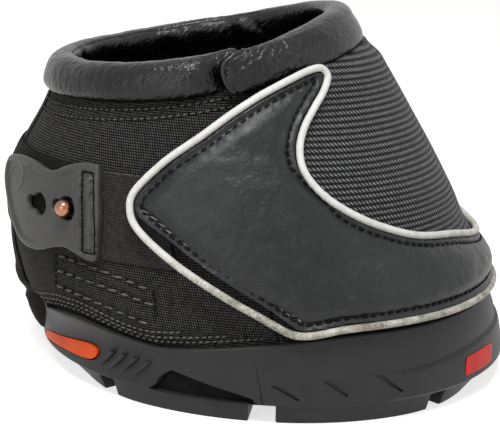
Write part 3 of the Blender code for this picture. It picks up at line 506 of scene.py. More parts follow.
def flat_shape(name, outline, cell=None):
    """Filled outline of turn and height points, cut in square cells if a size is given."""
    item = add_shape("circle", name, vertices=len(outline), radius=1, fill_type="NGON")
    flat = np.hstack([np.asarray(outline) * (MM, 1), np.zeros((len(outline), 1))])
    write_points(item, flat)
    steps = []
    for axis in (0, 1) if cell else ():
        low, high = flat[:, axis].min(), flat[:, axis].max()
        for index in range(math.floor(low / cell) + 1, math.ceil(high / cell)):
            place, normal = [0, 0, 0], [0, 0, 0]
            place[axis], normal[axis] = index * cell, 1
            steps.append(("bisect", {"plane_co": place, "plane_no": normal}))
    if steps:
        edit(item, *steps)
    return item


def flat_tool(outline):
    """Tool that cuts an outline through a flat slab a millimetre thick."""
    item = flat_shape("outline_tool", outline)
    extrude_up(item, 3 * MM)
    write_points(item, read_points(item) - (0, 0, MM))
    outward(item)
    return item


def thick_shape(name, outline, low, high, cell=None, bevel=0.0):
    """Solid between two offsets inside an outline, with rounded front edges."""
    item = flat_shape(name, outline, cell)
    extrude_up(item, high - low)
    flat = read_points(item)
    write_points(item, on_body(flat[:, 0] / MM, flat[:, 1], flat[:, 2] + low))
    outward(item)
    return round_edges(item, bevel) if bevel else item


def tube_on(name, places, radius, sides):
    """Round tube through places, with closed ends."""
    guide = add_shape("bezier_curve", name)
    data = guide.data
    data.splines.clear()
    spline = data.splines.new("POLY")
    spline.points.add(len(places) - 1)
    spline.points.foreach_set("co", np.hstack([places, np.ones((len(places), 1))]).ravel())
    data.dimensions = "3D"
    data.bevel_depth = radius
    data.bevel_resolution = sides // 2 - 2
    data.use_fill_caps = True
    use_only(guide)
    bpy.ops.object.convert(target="MESH")
    item = bpy.context.object
    outward(item)
    shade(item)
    return item


def stitches(name, lines, offset, pitch, share, radius, lean=0.0, place=on_body):
    """Rows of thread stitches along lines of turn and height, as one piece."""
    model = add_shape("uv_sphere", "stitch_model", segments=6, ring_count=5, radius=1)
    write_points(model, read_points(model)[:, [2, 1, 0]] * (pitch * share / 2, radius, radius))
    bm = bmesh.new()
    for line in lines:
        line = even_line(line, pitch)
        turns, heights = ((line[1:] + line[:-1]) / 2).T
        level = offset(turns, heights) if callable(offset) else np.full(len(turns), offset)
        along = place(line[1:, 0], line[1:, 1], level) - place(line[:-1, 0], line[:-1, 1], level)
        for where, run, normal in zip(place(turns, heights, level), along,
                                      out_of_body(turns, heights)):
            run = Vector(run).normalized()
            normal = (Vector(normal) - run * run.dot(Vector(normal))).normalized()
            run = (run + normal.cross(run) * math.tan(math.radians(lean))).normalized()
            axes = Matrix((run, normal.cross(run), normal)).transposed().to_4x4()
            mesh = model.data.copy()
            mesh.transform(Matrix.Translation(where) @ axes)
            bm.from_mesh(mesh)
            bpy.data.meshes.remove(mesh)
    mesh = bpy.data.meshes.new(name)
    bm.to_mesh(mesh)
    bm.free()
    mesh.shade_smooth()
    bpy.data.objects.remove(model, do_unlink=True)
    item = bpy.data.objects.new(name, mesh)
    bpy.context.scene.collection.objects.link(item)
    return item


# Materials

finish = {}


def linear(hex_color):
    """Linear colour from sRGB hex."""
    values = [int(hex_color[index:index + 2], 16) / 255 for index in (1, 3, 5)]
    values = [v / 12.92 if v <= 0.04045 else ((v + 0.055) / 1.055) ** 2.4 for v in values]
    return (*values, 1.0)


def add_node(tree, kind, *inputs, out=0, stops=(), to=None, size=None, stretch=(1, 1, 1),
             turned=(0, 0, 0), **settings):
    """Add a node with its settings and links, and give one of its outputs.

    The word after the kind is its operation. Inputs are in order, or one dict of names. Stops
    are a ramp's places and colours. A size is that of a pattern's features on the boot, which
    lie along turned and stretched axes. The output is linked to a socket of the shader.
    """
    kind, _, operation = kind.partition(" ")
    node = tree.nodes.new("ShaderNode" + kind)
    for key, value in {**settings, **({"operation": operation} if operation else {})}.items():
        setattr(node, key, value)
    pairs = dict(inputs[0] if inputs and isinstance(inputs[0], dict) else enumerate(inputs))
    if size:
        pairs.update(Scale=1.0, Vector=add_node(tree, "Mapping", {
            "Vector": add_node(tree, "TexCoord", out="Object"),
            "Rotation": [math.radians(angle) for angle in turned],
            "Scale": [share * size for share in stretch]}, vector_type="TEXTURE"))
    for key, value in pairs.items():
        if isinstance(value, bpy.types.NodeSocket):
            tree.links.new(value, node.inputs[key])
        else:
            node.inputs[key].default_value = value
    for index, (place, color) in enumerate(stops):
        elements = node.color_ramp.elements
        element = elements[index] if index < len(elements) else elements.new(place)
        element.position, element.color = place, linear(color)
    if to:
        tree.links.new(node.outputs[out], tree.nodes["Principled BSDF"].inputs[to])
    return node.outputs[out]


def new_material(key, name, **sockets):
    """Start a finish, with its shader's own values by name, and give its add_node."""
    material = finish[key] = bpy.data.materials.new(name)
    material.use_nodes = True
    shader = material.node_tree.nodes["Principled BSDF"]
    for socket, value in sockets.items():
        shader.inputs[socket.replace("_", " ")].default_value = value
    return functools.partial(add_node, material.node_tree)


def ridges(add, sharp, detail, **pattern):
    """Sharp ridges, 1 on the line where a noise passes its middle and 0 away from it."""
    away = add("Math SUBTRACT", add("TexNoise", {"Detail": detail}, **pattern), 0.5)
    away = add("Math MULTIPLY", add("Math ABSOLUTE", away), sharp)
    return add("Math MAXIMUM", add("Math SUBTRACT", 1.0, away), 0.0)


def cloth_map(add):
    """Metres across and up the cloth."""
    flat = add("UVMap", uv_map="UVMap")
    return [add("SeparateXYZ", flat, out=axis) for axis in "XY"]


def wave_of(add, distance, pitch):
    """Humps from 0 to 1, a pitch apart."""
    return add("Math ABSOLUTE", add("Math SINE", add("Math MULTIPLY", distance, math.pi / pitch)))


def make_plain_finishes():
    """Rubbers, threads, tapes and foam: two close tones, and a fine grain in the surface."""
    # Moulded rubber (TPU) is matt charcoal with a very fine grain from the mould, the tab's a
    # little paler and smoother, and the orange and red are clean with a soft gloss. The fibres
    # of thread, tape, mesh, hook and loop and foam are too fine to show, so a dull grain of
    # 0.4 to 0.8 mm stands for them. Sizes are in mm: of the tones, and of the grain.
    for key, name, rough, ior, gloss, dark, light, tones, detail, grain, fine, depth in (
            ("rubber", "moulded_rubber", 0.5, 1.5, 0.24, "#242525", "#2b2c2c", 9, 3, 0.5, 3, 0.05),
            ("tab", "tab_rubber", 0.42, 1.5, 0.35, "#3b3b39", "#424240", 7, 3, 0.45, 2, 0.03),
            ("orange", "orange_rubber", 0.5, 1.5, 0.15, "#dd4c1c", "#ee5c26", 6, 2, 0.6, 2, 0.03),
            ("red", "red_rubber", 0.5, 1.5, 0.15, "#c8302c", "#d93c36", 6, 2, 0.6, 2, 0.03),
            ("thread", "thread", 0.6, 1.45, 0.15, "#020202", "#0b0b0b", 0.8, 3, 0.4, 3, 0.05),
            ("pale_thread", "pale_thread", 0.6, 1.45, 0.15, "#3f3e3b", "#73716b", 1.0, 3, 0.5, 3,
             0.06),
            ("tape", "tape", 0.8, 1.45, 0.15, "#0e0e0d", "#262523", 1.2, 3, 0.6, 3, 0.15),
            ("mesh", "mesh", 0.85, 1.45, 0.15, "#070707", "#151515", 1.6, 3, 0.8, 3, 0.25),
            ("hooks", "hooks", 0.95, 1.45, 0.15, "#070707", "#161616", 1.0, 3, 0.5, 3, 0.30),
            ("foam", "foam", 0.95, 1.45, 0.15, "#353537", "#414143", 1.6, 3, 0.8, 3, 0.15)):
        add = new_material(key, name, Roughness=rough, IOR=ior, Specular_IOR_Level=gloss)
        add("ValToRGB", add("TexNoise", {"Detail": detail}, size=tones * MM),
            stops=((0.3, dark), (0.7, light)), to="Base Color")
        add("Bump", {"Height": add("TexNoise", {"Detail": fine}, size=grain * MM),
                     "Distance": depth * MM, "Strength": 1.0}, to="Normal")

    # Polished copper: mirror-like with a faint haze
    add = new_material("copper", "polished_copper", Metallic=1.0, Roughness=0.14)
    add("ValToRGB", add("TexNoise", {"Detail": 2}, size=3 * MM),
        stops=((0.3, "#8f5f4a"), (0.7, "#ab7a61")), to="Base Color")


def make_cloth_finishes():
    """Woven nylon, webbing, lining, ribbed nylon and elastic."""
    # Woven nylon: dull threads with painted shade in the gaps and painted light on their crowns.
    # Threads 0.5 mm wide are too fine to show, so they are drawn 0.76 mm wide, 0.62 mm in the
    # tighter webbing and 1.1 mm in the loose lining
    for key, name, pitch, dark, middle, light in (
            ("cloth", "woven_nylon", 0.76 * MM, "#060606", "#1f1f1f", "#5f5e5c"),
            ("webbing", "webbing", 0.62 * MM, "#020202", "#101010", "#333231"),
            # The lining's near black is its own colour, darkened further as painted shade for the
            # dim inside of the boot
            ("lining", "lining", 1.1 * MM, "#020202", "#070707", "#101010")):
        add = new_material(key, name, Roughness=0.8, IOR=1.45, Specular_IOR_Level=0.12)
        waves = [add("Math SINE", add("Math MULTIPLY", at, math.pi / pitch))
                 for at in cloth_map(add)]
        warp_on_top = add("Math GREATER_THAN", add("Math MULTIPLY", *waves), 0.0)
        warp, weft = (add("Math ABSOLUTE", wave) for wave in waves)
        thread = add("Math ADD", add("Math MULTIPLY", warp, warp_on_top),
                     add("Math MULTIPLY", weft, add("Math SUBTRACT", 1.0, warp_on_top)))
        height = add("Math MULTIPLY", thread,
                     add("Math POWER", add("Math MULTIPLY", warp, weft), 0.35))
        patch = add("Math MULTIPLY_ADD", add("TexNoise", {"Detail": 3}, size=1.3 * MM), 0.9, 0.5)
        # The tone follows the thread's height: painted shade low in the gaps, painted light high
        # on the crowns
        add("ValToRGB", add("Math MULTIPLY", height, patch),
            stops=((0.18, dark), (0.5, middle), (0.95, light)), to="Base Color")
        add("Bump", {"Height": height, "Distance": 0.3 * MM, "Strength": 1.0}, to="Normal")

    # Ribbed nylon: rows of slanted knots, with painted shade in the gaps between them and a
    # painted sheen on their crowns. The real rows are 1.4 mm apart, and are drawn 1.6 mm apart so
    # that they show
    row_pitch, knot_pitch, knot_slant, row_shift = 1.6 * MM, 1.25 * MM, 0.5, 0.14
    add = new_material("ribbed", "ribbed_nylon", Roughness=0.55, IOR=1.5, Specular_IOR_Level=0.15)
    across, up = cloth_map(add)
    row = add("Math MULTIPLY", up, 1 / row_pitch)
    saw = add("Math FRACT", row)
    rib = add("Math SINE", add("Math MULTIPLY", saw, math.pi))
    step = add("Math MULTIPLY_ADD", across, 1 / knot_pitch,
               add("Math MULTIPLY", saw, knot_slant))
    shift = add("Math MULTIPLY", add("Math FLOOR", row), row_shift)
    knot = wave_of(add, add("Math ADD", step, shift), 1.0)
    height = add("Math MULTIPLY", add("Math POWER", rib, 0.9),
                 add("Math MULTIPLY_ADD", add("Math POWER", knot, 1.3), 0.85, 0.15))
    worn = add("Math MULTIPLY_ADD", add("TexNoise", {"Detail": 3}, size=1.5 * MM), 0.7, 0.65)
    # Tone from the knots' height: painted shade in the gaps, painted sheen on the crowns
    add("ValToRGB", add("Math MULTIPLY", height, worn), to="Base Color",
        stops=((0.2, "#030303"), (0.45, "#2b2b2c"), (0.72, "#626364"), (0.98, "#929394")))
    add("Bump", {"Height": height, "Distance": 0.5 * MM, "Strength": 1.0}, to="Normal")

    # Elastic: fine slanted threads, drawn 0.7 mm apart so they show, with painted shade between
    # them and a painted soft sheen on their crowns
    add = new_material("elastic", "elastic", Roughness=0.7, IOR=1.45, Specular_IOR_Level=0.15)
    across, up = cloth_map(add)
    first = wave_of(add, add("Math ADD", add("Math MULTIPLY", across, 1.1), up), 0.7 * MM)
    second = add("Math MULTIPLY_ADD", wave_of(add, up, 0.62 * MM), 0.7, 0.3)
    height = add("Math MULTIPLY", first, second)
    worn = add("Math MULTIPLY_ADD", add("TexNoise", {"Detail": 3}, size=2 * MM), 0.6, 0.7)
    # Tone from the threads' height: painted shade between them, painted sheen on top
    add("ValToRGB", add("Math MULTIPLY", height, worn), to="Base Color",
        stops=((0.2, "#040404"), (0.55, "#1c1b1b"), (0.95, "#5c5a57")))
    add("Bump", {"Height": height, "Distance": 0.2 * MM, "Strength": 1.0}, to="Normal")


def make_leather_finishes():
    """Leather of the collar and the overlay, and the piping."""
    # Collar leather: black and glossy, its soft skin broken by slanted creases. The real ones
    # are about 1.2 mm apart, and are drawn 1.8 mm apart so that they show
    add = new_material("leather", "collar_leather", Roughness=0.3, IOR=1.5,
                       Specular_IOR_Level=0.38)
    crease = ridges(add, 3.6, 2, size=1.8 * MM, stretch=(3.0, 1, 1), turned=(0, -52, 0))
    web = ridges(add, 4.0, 1, size=1.5 * MM, stretch=(1, 1, 1.4), turned=(0, 20, 0))
    amount = add("Math MULTIPLY_ADD", add("TexNoise", {"Detail": 1}, size=9 * MM), 1.4, 0.15)
    folds = add("Math MULTIPLY", add("Math MAXIMUM", crease, add("Math MULTIPLY", web, 0.6)),
                amount)
    # Painted shade: the base colour darkens a little in the creases
    add("ValToRGB", folds, stops=((0.1, "#050606"), (0.8, "#010101")), to="Base Color")
    add("Math MULTIPLY_ADD", add("TexNoise", {"Detail": 3}, size=1.2 * MM), 0.2, 0.2,
        to="Roughness")
    pores = add("Bump", {"Height": add("TexNoise", {"Detail": 1}, size=0.7 * MM),
                         "Distance": 0.015 * MM, "Strength": 1.0})
    add("Bump", {"Height": add("Math SUBTRACT", 1.0, folds), "Distance": 0.22 * MM,
                 "Strength": 1.0, "Normal": pores}, to="Normal")

    # Overlay leather: smooth black with fine pale cracks in the finish, and pale grey along its
    # edge from wear, with a painted sheen of the floor's light added on the low run
    add = new_material("overlay", "overlay_leather", Roughness=0.42, IOR=1.5,
                       Specular_IOR_Level=0.35)
    cracks = [ridges(add, 24.0, 2, size=1.3 * MM, stretch=(3.6, 0.8, 0.8), turned=turned)
              for turned in ((10, -20, 35), (-15, -50, -40), (30, 25, 80))]
    web = add("Math MAXIMUM", add("Math MAXIMUM", *cracks[:2]), cracks[2])
    web = add("Math MULTIPLY", web, add(
        "Math MULTIPLY_ADD", add("TexNoise", {"Detail": 3}, size=5 * MM), 1.6, -0.45))
    # Pale edge band: mottled wear, and on the low run a painted sheen
    rub = add("Math MULTIPLY", add("Attribute", attribute_name="wear_and_sheen", out="Fac"), add(
        "Math MULTIPLY_ADD",
        add("TexNoise", {"Detail": 4, "Roughness": 0.6}, size=0.9 * MM), 3.4, -0.75))
    tone = add("Math MAXIMUM", add("Math MULTIPLY", add("Math MAXIMUM", web, 0.0), 0.5), rub)
    add("ValToRGB", tone, to="Base Color",
        stops=((0.0, "#0f1111"), (0.25, "#1d2020"), (0.6, "#7e807d"), (1.0, "#bdbcb3")))
    add("Math MULTIPLY_ADD", add("TexNoise", {"Detail": 3}, size=3 * MM), 0.26, 0.27,
        to="Roughness")
    dents = add("Bump", {"Height": add("TexNoise", {"Detail": 3, "Roughness": 0.55}, size=4 * MM),
                         "Distance": 0.35 * MM, "Strength": 1.0})
    add("Bump", {"Height": add("TexNoise", {"Detail": 3, "Roughness": 0.6}, size=0.55 * MM),
                 "Distance": 0.05 * MM, "Strength": 1.0, "Normal": dents}, to="Normal")

    # Reflective piping: pale grey ribbon round a cord, speckled, and a darker grey lower down the
    # boot
    add = new_material("piping", "reflective_piping", Roughness=0.5, IOR=1.5,
                       Specular_IOR_Level=0.3)
    speck = add("Math MULTIPLY_ADD", add("TexNoise", {"Detail": 2}, size=0.6 * MM), 0.4,
                add("Math MULTIPLY", add("TexNoise", {"Detail": 3}, size=4 * MM), 0.6))
    level = add("SeparateXYZ", add("TexCoord", out="Object"), out="Z")
    height_tone = add("MapRange", {"Value": level, "From Min": 40 * MM, "From Max": 56 * MM,
                             "To Min": -0.10, "To Max": 0.20}, clamp=True)
    add("ValToRGB", add("Math ADD", speck, height_tone), to="Base Color",
        stops=((0.28, "#77756b"), (0.42, "#b0ada0"), (0.53, "#cfcec7"), (0.75, "#e2e2de")))
    add("Bump", {"Height": add("TexNoise", {"Detail": 2}, size=0.4 * MM),
                 "Distance": 0.05 * MM, "Strength": 1.0}, to="Normal")


make_plain_finishes()
make_cloth_finishes()
make_leather_finishes()


def dress(item, material, body, slot, *nodes):
    """Give a piece its finish and its body, and hide the CAD nodes that it stands for; the slot is
    not used.
    """
    item.data.materials.clear()
    item.data.materials.append(finish[material])
    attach(item, body)
    if nodes:
        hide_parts(*nodes)


# Sole


def toe_cap(turn, fade=12):
    """1 on the toe cap and 0 behind it."""
    return smoothstep((TOE_CAP_TURN - abs(turn)) / fade)


def wall_rows(turn):
    """Heights and offsets of the wall's section at each turn, from the tread up and back in."""
    lip = wall_height(turn)
    toe = toe_cap(turn)
    cap = 14 * MM + 3.5 * MM * toe_cap(turn, 45)
    foot, top = WALL_OUTER, WALL_TOP
    start = TREAD_DEPTH + 1.2 * MM
    rows = [(TREAD_DEPTH, foot - 1.2 * MM), (TREAD_DEPTH + 0.1 * MM, foot - 0.5 * MM),
            (TREAD_DEPTH + 0.5 * MM, foot), (start, foot + 0.1 * MM + 0.6 * MM * toe)]
    for share in (0.25, 0.5, 0.75, 0.93):
        rows.append((start + (cap - 0.5 * MM - start) * share, wall_face(turn, share)))
    middle = (foot + top) / 2
    rows += [(cap - 0.25 * MM, middle + 0.65 * MM * toe), (cap, middle + 0.2 * MM * toe),
             (cap + 0.3 * MM, middle - 0.35 * MM * toe), (cap + MM, middle - 0.3 * MM * toe)]
    for share in (0.35, 0.7):
        rows.append((cap + (lip - cap) * share, middle + (top - middle) * share))
    rows += [(lip - 0.8 * MM, top + 0.1 * MM), (lip - 0.3 * MM, top),
             (lip, top - 0.35 * MM), (lip + 0.05 * MM, (top + SOLE_GAP) / 2),
             (lip, SOLE_GAP + 0.35 * MM), (lip - 0.4 * MM, SOLE_GAP),
             (lip * 0.6 + FLOOR_HEIGHT * 0.4, SOLE_GAP), (FLOOR_HEIGHT, SOLE_GAP)]
    return [(height + 0 * turn, offset + 0 * turn) for height, offset in rows]


def wall_face(turn, share=0.5):
    """Offset of the lower part of the wall, at a share of the way up to the toe cap's edge."""
    return WALL_OUTER + (WALL_TOP - WALL_OUTER) / 2 * share + 0.8 * MM * toe_cap(turn)


def rounded_block(kind, name, bevel, segments=2, **settings):
    """Primitive with its place and size applied and its edges rounded."""
    item = add_shape(kind, name, **settings)
    bpy.ops.object.transform_apply(location=True, rotation=True, scale=True)
    return round_edges(item, bevel, segments)


def tread_lug(number, start, end):
    """Block of the tread between two turns, with its outer side bevelled at toe and heel."""
    item = add_shape("grid", f"lug_{number}", x_subdivisions=round((end - start) / 2),
                     y_subdivisions=1, size=2)
    extrude_up(item, 1)
    co = read_points(item)
    turn = start + (end - start) * (co[:, 0] + 1) / 2
    height = (TREAD_DEPTH + 0.4 * MM) * (co[:, 1] + 1) / 2
    towards_end = np.maximum(smoothstep(1 - abs(turn) / 60), smoothstep((abs(turn) - 125) / 40))
    bevel = 16 * MM * (0.10 + 0.45 * towards_end) * np.clip(1 - height / TREAD_DEPTH, 0, 1)
    outer = WALL_OUTER - 1.2 * MM - bevel
    inner = WALL_OUTER - 17.2 * MM
    write_points(item, on_body(turn, height, np.where(co[:, 2] > 0.5, outer, inner)))
    outward(item)
    return round_edges(item, 0.5 * MM)


def tread_middle():
    """Round pad and cross bars under the middle of the sole."""
    height, bevel = 6.4 * MM, 0.6 * MM
    pad = rounded_block("cylinder", "centre_pad", bevel, vertices=64, radius=17 * MM,
                        depth=height, location=(0, 0, height / 2))
    bars = [rounded_block("cube", "centre_bar", bevel, size=1,
                          location=(side * 34 * MM, 0, height / 2),
                          scale=(9 * MM, 34 * MM, height)) for side in (-1, 1)]
    return [pad, *bars]


def wall_cutter(name, outline, low, flare, cell):
    """Tool that cuts an outline into the wall, its sides leaning open towards the outside."""
    item = flat_shape(name, outline, cell)
    extrude_up(item, 1)
    co = read_points(item)
    if flare:
        middle = (co.max(0) + co.min(0)) / 2
        half = (co.max(0) - co.min(0)) / 2
        grow = 1 + flare / half[:2]
        outer = co[:, 2] > 0.5
        co[outer, :2] = middle[:2] + (co[outer, :2] - middle[:2]) * grow
    offset = low + (WALL_OUTER + 2 * MM - low) * co[:, 2]
    write_points(item, on_body(co[:, 0] / MM, co[:, 1], offset))
    outward(item)
    return item


INLAY_LINE = smooth_line(scaled(INLAY_OUTLINE), True, 4)
DRAIN_LINE = smooth_line(scaled(DRAIN_OUTLINE), True, 4)
TOE_MARK_LINE = smooth_line(scaled(TOE_MARK_OUTLINE, MM), True, 4)


def shrunk(line, share):
    """An outline drawn in towards its middle."""
    middle = np.mean(line, 0)
    return [tuple(middle + (np.array(point) - middle) * share) for point in line]


def make_outsole():
    """Cup sole with lugs, ribs, slots, grooves, inlay recesses and the open heel."""
    count = len(wall_rows(np.zeros(1)))
    item, across, up = add_grid("cup_sole", 240, count - 1)
    turn = 360 * across - 180
    level = np.round(up * (count - 1)).astype(int)
    heights, offsets = (np.array(part) for part in zip(*wall_rows(turn)))
    index = np.arange(len(turn))
    write_points(item, on_body(turn, heights[level, index], offsets[level, index]))
    outward(item, fill=True)

    blocks = [tread_lug(number, *turns) for number, turns in enumerate(LUG_TURNS)]
    cut(item, joined(blocks + tread_middle()), "UNION")

    ribs = []
    for foot_turn, foot_share in RIB_FEET:
        foot, rise = foot_share * BOOT_HEIGHT, 0.046 * BOOT_HEIGHT
        outline = [(foot_turn - RIB_HALF_WIDTH, foot), (foot_turn + RIB_HALF_WIDTH, foot),
                   (foot_turn + RIB_LEAN + RIB_HALF_WIDTH, foot + rise),
                   (foot_turn + RIB_LEAN - RIB_HALF_WIDTH, foot + rise)]
        ribs += [thick_shape(f"rib_{number}", shape, WALL_OUTER - 1.5 * MM,
                             WALL_OUTER + 1.0 * MM, bevel=0.62 * MM)
                 for number, shape in enumerate(both_sides(outline))]
    cut(item, joined(ribs), "UNION")

    grooves = [("inlay_tool", INLAY_LINE, WALL_OUTER - 1.6 * MM, 0.9 * MM, 2.5 * MM),
               ("drain_tool", DRAIN_LINE, SOLE_GAP - 0.3 * MM, 0.9 * MM, 2.5 * MM)]
    for number, ((turn_a, high), (turn_b, low)) in enumerate(SLASHES):
        outline = [(turn_a - 0.35, high * MM), (turn_b - 0.1, low * MM - 0.2 * MM),
                   (turn_b + 0.35, low * MM + 0.2 * MM), (turn_a + 1.6, high * MM + 0.2 * MM)]
        grooves.append((f"slash_{number}", outline, WALL_OUTER - 0.9 * MM, 0.2 * MM, None))
    grooves.append(("parting", scaled(PARTING, MM), WALL_OUTER - 0.75 * MM, 0.0, None))
    cut(item, joined([wall_cutter(f"{name}_{side}", shape, low, flare, cell)
                      for name, outline, low, flare, cell in grooves
                      for side, shape in enumerate(both_sides(outline))]))

    cut(item, rounded_block("cube", "heel_gap", 1.5 * MM, 4, size=1,
                            location=(-73 * MM, 0, 29 * MM),
                            scale=(73 * MM, 26.4 * MM, 39 * MM)))
    shade(item, 32)
    apply_modifier(item, "WEIGHTED_NORMAL", keep_sharp=True, weight=60)
    dress(item, "rubber", "boot", "moulded_rubber", "outsole")


def make_sole_pieces():
    """Inlays, toe marks and the cloth behind the drain slots, on both sides."""
    for side, turned in (("near", list), ("far", flip)):
        for name, line, low, high, bevel, look, slot, node in (
                ("inlay", shrunk(INLAY_LINE, 0.965), WALL_OUTER - 1.5 * MM,
                 WALL_OUTER + 0.15 * MM, 0.3 * MM, "orange", "orange_rubber", "side_inlay"),
                ("toe_patch", TOE_MARK_LINE, WALL_OUTER + 0.1 * MM, WALL_OUTER + 1.05 * MM,
                 0.3 * MM, "red", "red_rubber", "toe_mark"),
                ("drain_cloth", shrunk(DRAIN_LINE, 0.95), SOLE_GAP, SOLE_GAP + 0.9 * MM, 0.0,
                 "mesh", "mesh_cloth", "drain_mesh")):
            piece = thick_shape(f"{name}_{side}", turned(line), low, high, 2 * MM, bevel)
            if bevel:
                shade(piece)
            dress(piece, look, "boot", slot, f"{node}_{side}")


# Upper


def heel_half_turn(height):
    """Half width of the heel panel as a turn."""
    foot, top = HEEL_TAPE_HALF_WIDTHS
    half = foot + (top - foot) * height / HEEL_COLLAR_HEIGHT
    return half / metres_per_degree(180.0, height)


def row_a(turn):
    """Upper row of stitches under the collar."""
    return collar_top(turn) - 12.3 * MM - 2.0 * MM * (1 - forward_share(turn)) ** 2


def row_b(turn):
    """Lower row of stitches under the collar."""
    return row_a(turn) - 2.3 * MM - 0.7 * MM * (1 - forward_share(turn)) ** 2


# Stitches of the box on the near quarter, with heights in mm
BOX_ROWS = (
    ((-141.0, 40.9), (-133.5, 40.5), (-127.0, 39.6), (-121.2, 38.2), (-116.0, 36.5)),
    ((-142.5, 36.0), (-134.4, 35.7), (-127.3, 34.9), (-121.1, 33.5), (-115.4, 32.0)),
    ((-144.1, 30.9), (-135.8, 30.3), (-129.2, 29.1), (-123.4, 27.6), (-118.1, 26.0)),
)
BOX_ENDS = (((-141.6, 41.2), (-142.9, 35.8), (-144.5, 30.7)),
            ((-115.3, 36.6), (-115.1, 33.7), (-116.2, 27.8)))
# Rise over the sole's lip in mm, and the first and last turn
FOOT_ROWS = ((1.3, -173.0, -92.0), (2.7, -172.0, -100.0), (4.2, -171.0, -110.0))
TURN_RANGE = np.arange(-172.0, -80.0, 1.0)


def sewn_lines(side):
    """Lines of turn and height along which a quarter is sewn, three of them along its foot."""
    lines = [[(turn, float(rule(turn))) for turn in TURN_RANGE] for rule in (row_a, row_b)]
    for rise, start, end in FOOT_ROWS:
        lines.append([(turn, float(wall_height(turn)) + rise * MM)
                      for turn in np.arange(start, end, 1.0)])
    if side < 0:
        lines += [scaled(row, MM) for row in (*BOX_ROWS, *BOX_ENDS)]
    return [line if side < 0 else flip(line) for line in lines]


# Height and swell in mm
HEEL_BULGE = ((7.5, 5.6), (9.0, 6.8), (13.0, 8.6), (16.5, 9.3), (19.5, 7.0), (23.0, 3.9),
              (28.0, 2.0), (35.0, 1.2), (45.0, 0.3), (60.0, 0.0))


def heel_bulge(height):
    """How far the cloth swells out through the open heel of the sole."""
    return np.interp(height / MM, *zip(*HEEL_BULGE)) * MM


def quarter_face(turn, height):
    """Offset of a quarter's cloth: soft waves, and dents along its seams."""
    places = on_body(turn, height)
    side = -1 if turn[0] < 0 else 1
    gap = np.min([distance_to(places, on_line(even_line(line, 1.5 * MM)))
                  for line in sewn_lines(side)], 0)
    wave = soft_noise(places, 16 * MM, 3.0) * 0.35 * MM + soft_noise(places, 6 * MM, 9) * 0.1 * MM
    dent = -0.28 * MM * ridge(gap, 0.8 * MM)
    puff = 0.12 * MM * ridge(gap - 2.2 * MM, 1.2 * MM)
    lip = ridge(height - wall_height(turn), 2.5 * MM)
    return wave * (1 - 0.7 * lip) + dent + puff - 0.15 * MM


def make_quarters():
    """Woven side panels, and the tape that covers their seam at the heel."""
    for side, name in ((-1, "near"), (1, "far")):
        def heel_edge(height):
            return side * (180 - heel_half_turn(height) - 0.3)

        turns = (heel_edge, -30.0) if side < 0 else (30.0, heel_edge)
        piece = cloth_panel(f"{name}_side", turns, (CLOTH_FOOT, rolled_top), 0.85 * MM,
                            quarter_face, 1.7 * MM, side * 105.0)
        dress(piece, "cloth", "boot", "woven_nylon", f"{name}_quarter")

    def tape_face(turn, height):
        wave = soft_noise(on_body(turn, height), 9 * MM, 5) * 0.3 * MM
        side = abs(turn - 180) / heel_half_turn(height)
        return heel_bulge(height) * (1 - 0.8 * side ** 3) + 0.35 * MM + wave

    piece = cloth_panel("heel_tape", (lambda height: 180 - heel_half_turn(height),
                                      lambda height: 180 + heel_half_turn(height)),
                        (7.5 * MM, rolled_top), 0.8 * MM, tape_face, 1.9 * MM, 180.0)
    dress(piece, "tape", "boot", "seam_tape", "heel_panel")


def lining_face(turn, height):
    """Offset of the lining, quilted softly."""
    places = on_body(turn, height)
    return -2.9 * MM + soft_noise(places, 12 * MM, 7) * 0.1 * MM


def make_inside():
    """Lining and the foam insole."""
    piece = cloth_panel("inner_lining", (30.0, 330.0), (CLOTH_FOOT, rolled_top), 1.5 * MM,
                        lining_face, 1.0 * MM, 180.0)
    dress(piece, "lining", "boot", "lining_cloth", "lining")

    item, across, up = add_grid("insole", 90, 34)
    turn = 360 * across - 180
    low, high = CLOTH_FOOT, FLOOR_HEIGHT + 3.5 * MM
    face_share = 0.42
    reach = np.clip(np.minimum(up, 1 - up) / face_share, 0, 1)
    edge = on_body(turn, low + 0 * turn, -4.4 * MM)
    centre = np.array([-0.005, 0, low])
    places = centre + (edge - centre) * reach[:, None]
    rise = smoothstep((up - face_share) / 0.16)
    places[:, :2] += (edge - centre)[:, :2] * (0.012 * np.sin(math.pi * rise))[:, None]
    crown = np.where(up > 0.5, (1 - reach ** 3) * 0.6 * MM, 0)
    places[:, 2] = low + (high - low) * rise + crown
    write_points(item, places)
    outward(item)
    shade(item)
    dress(item, "foam", "boot", "foam", "insole_pad")


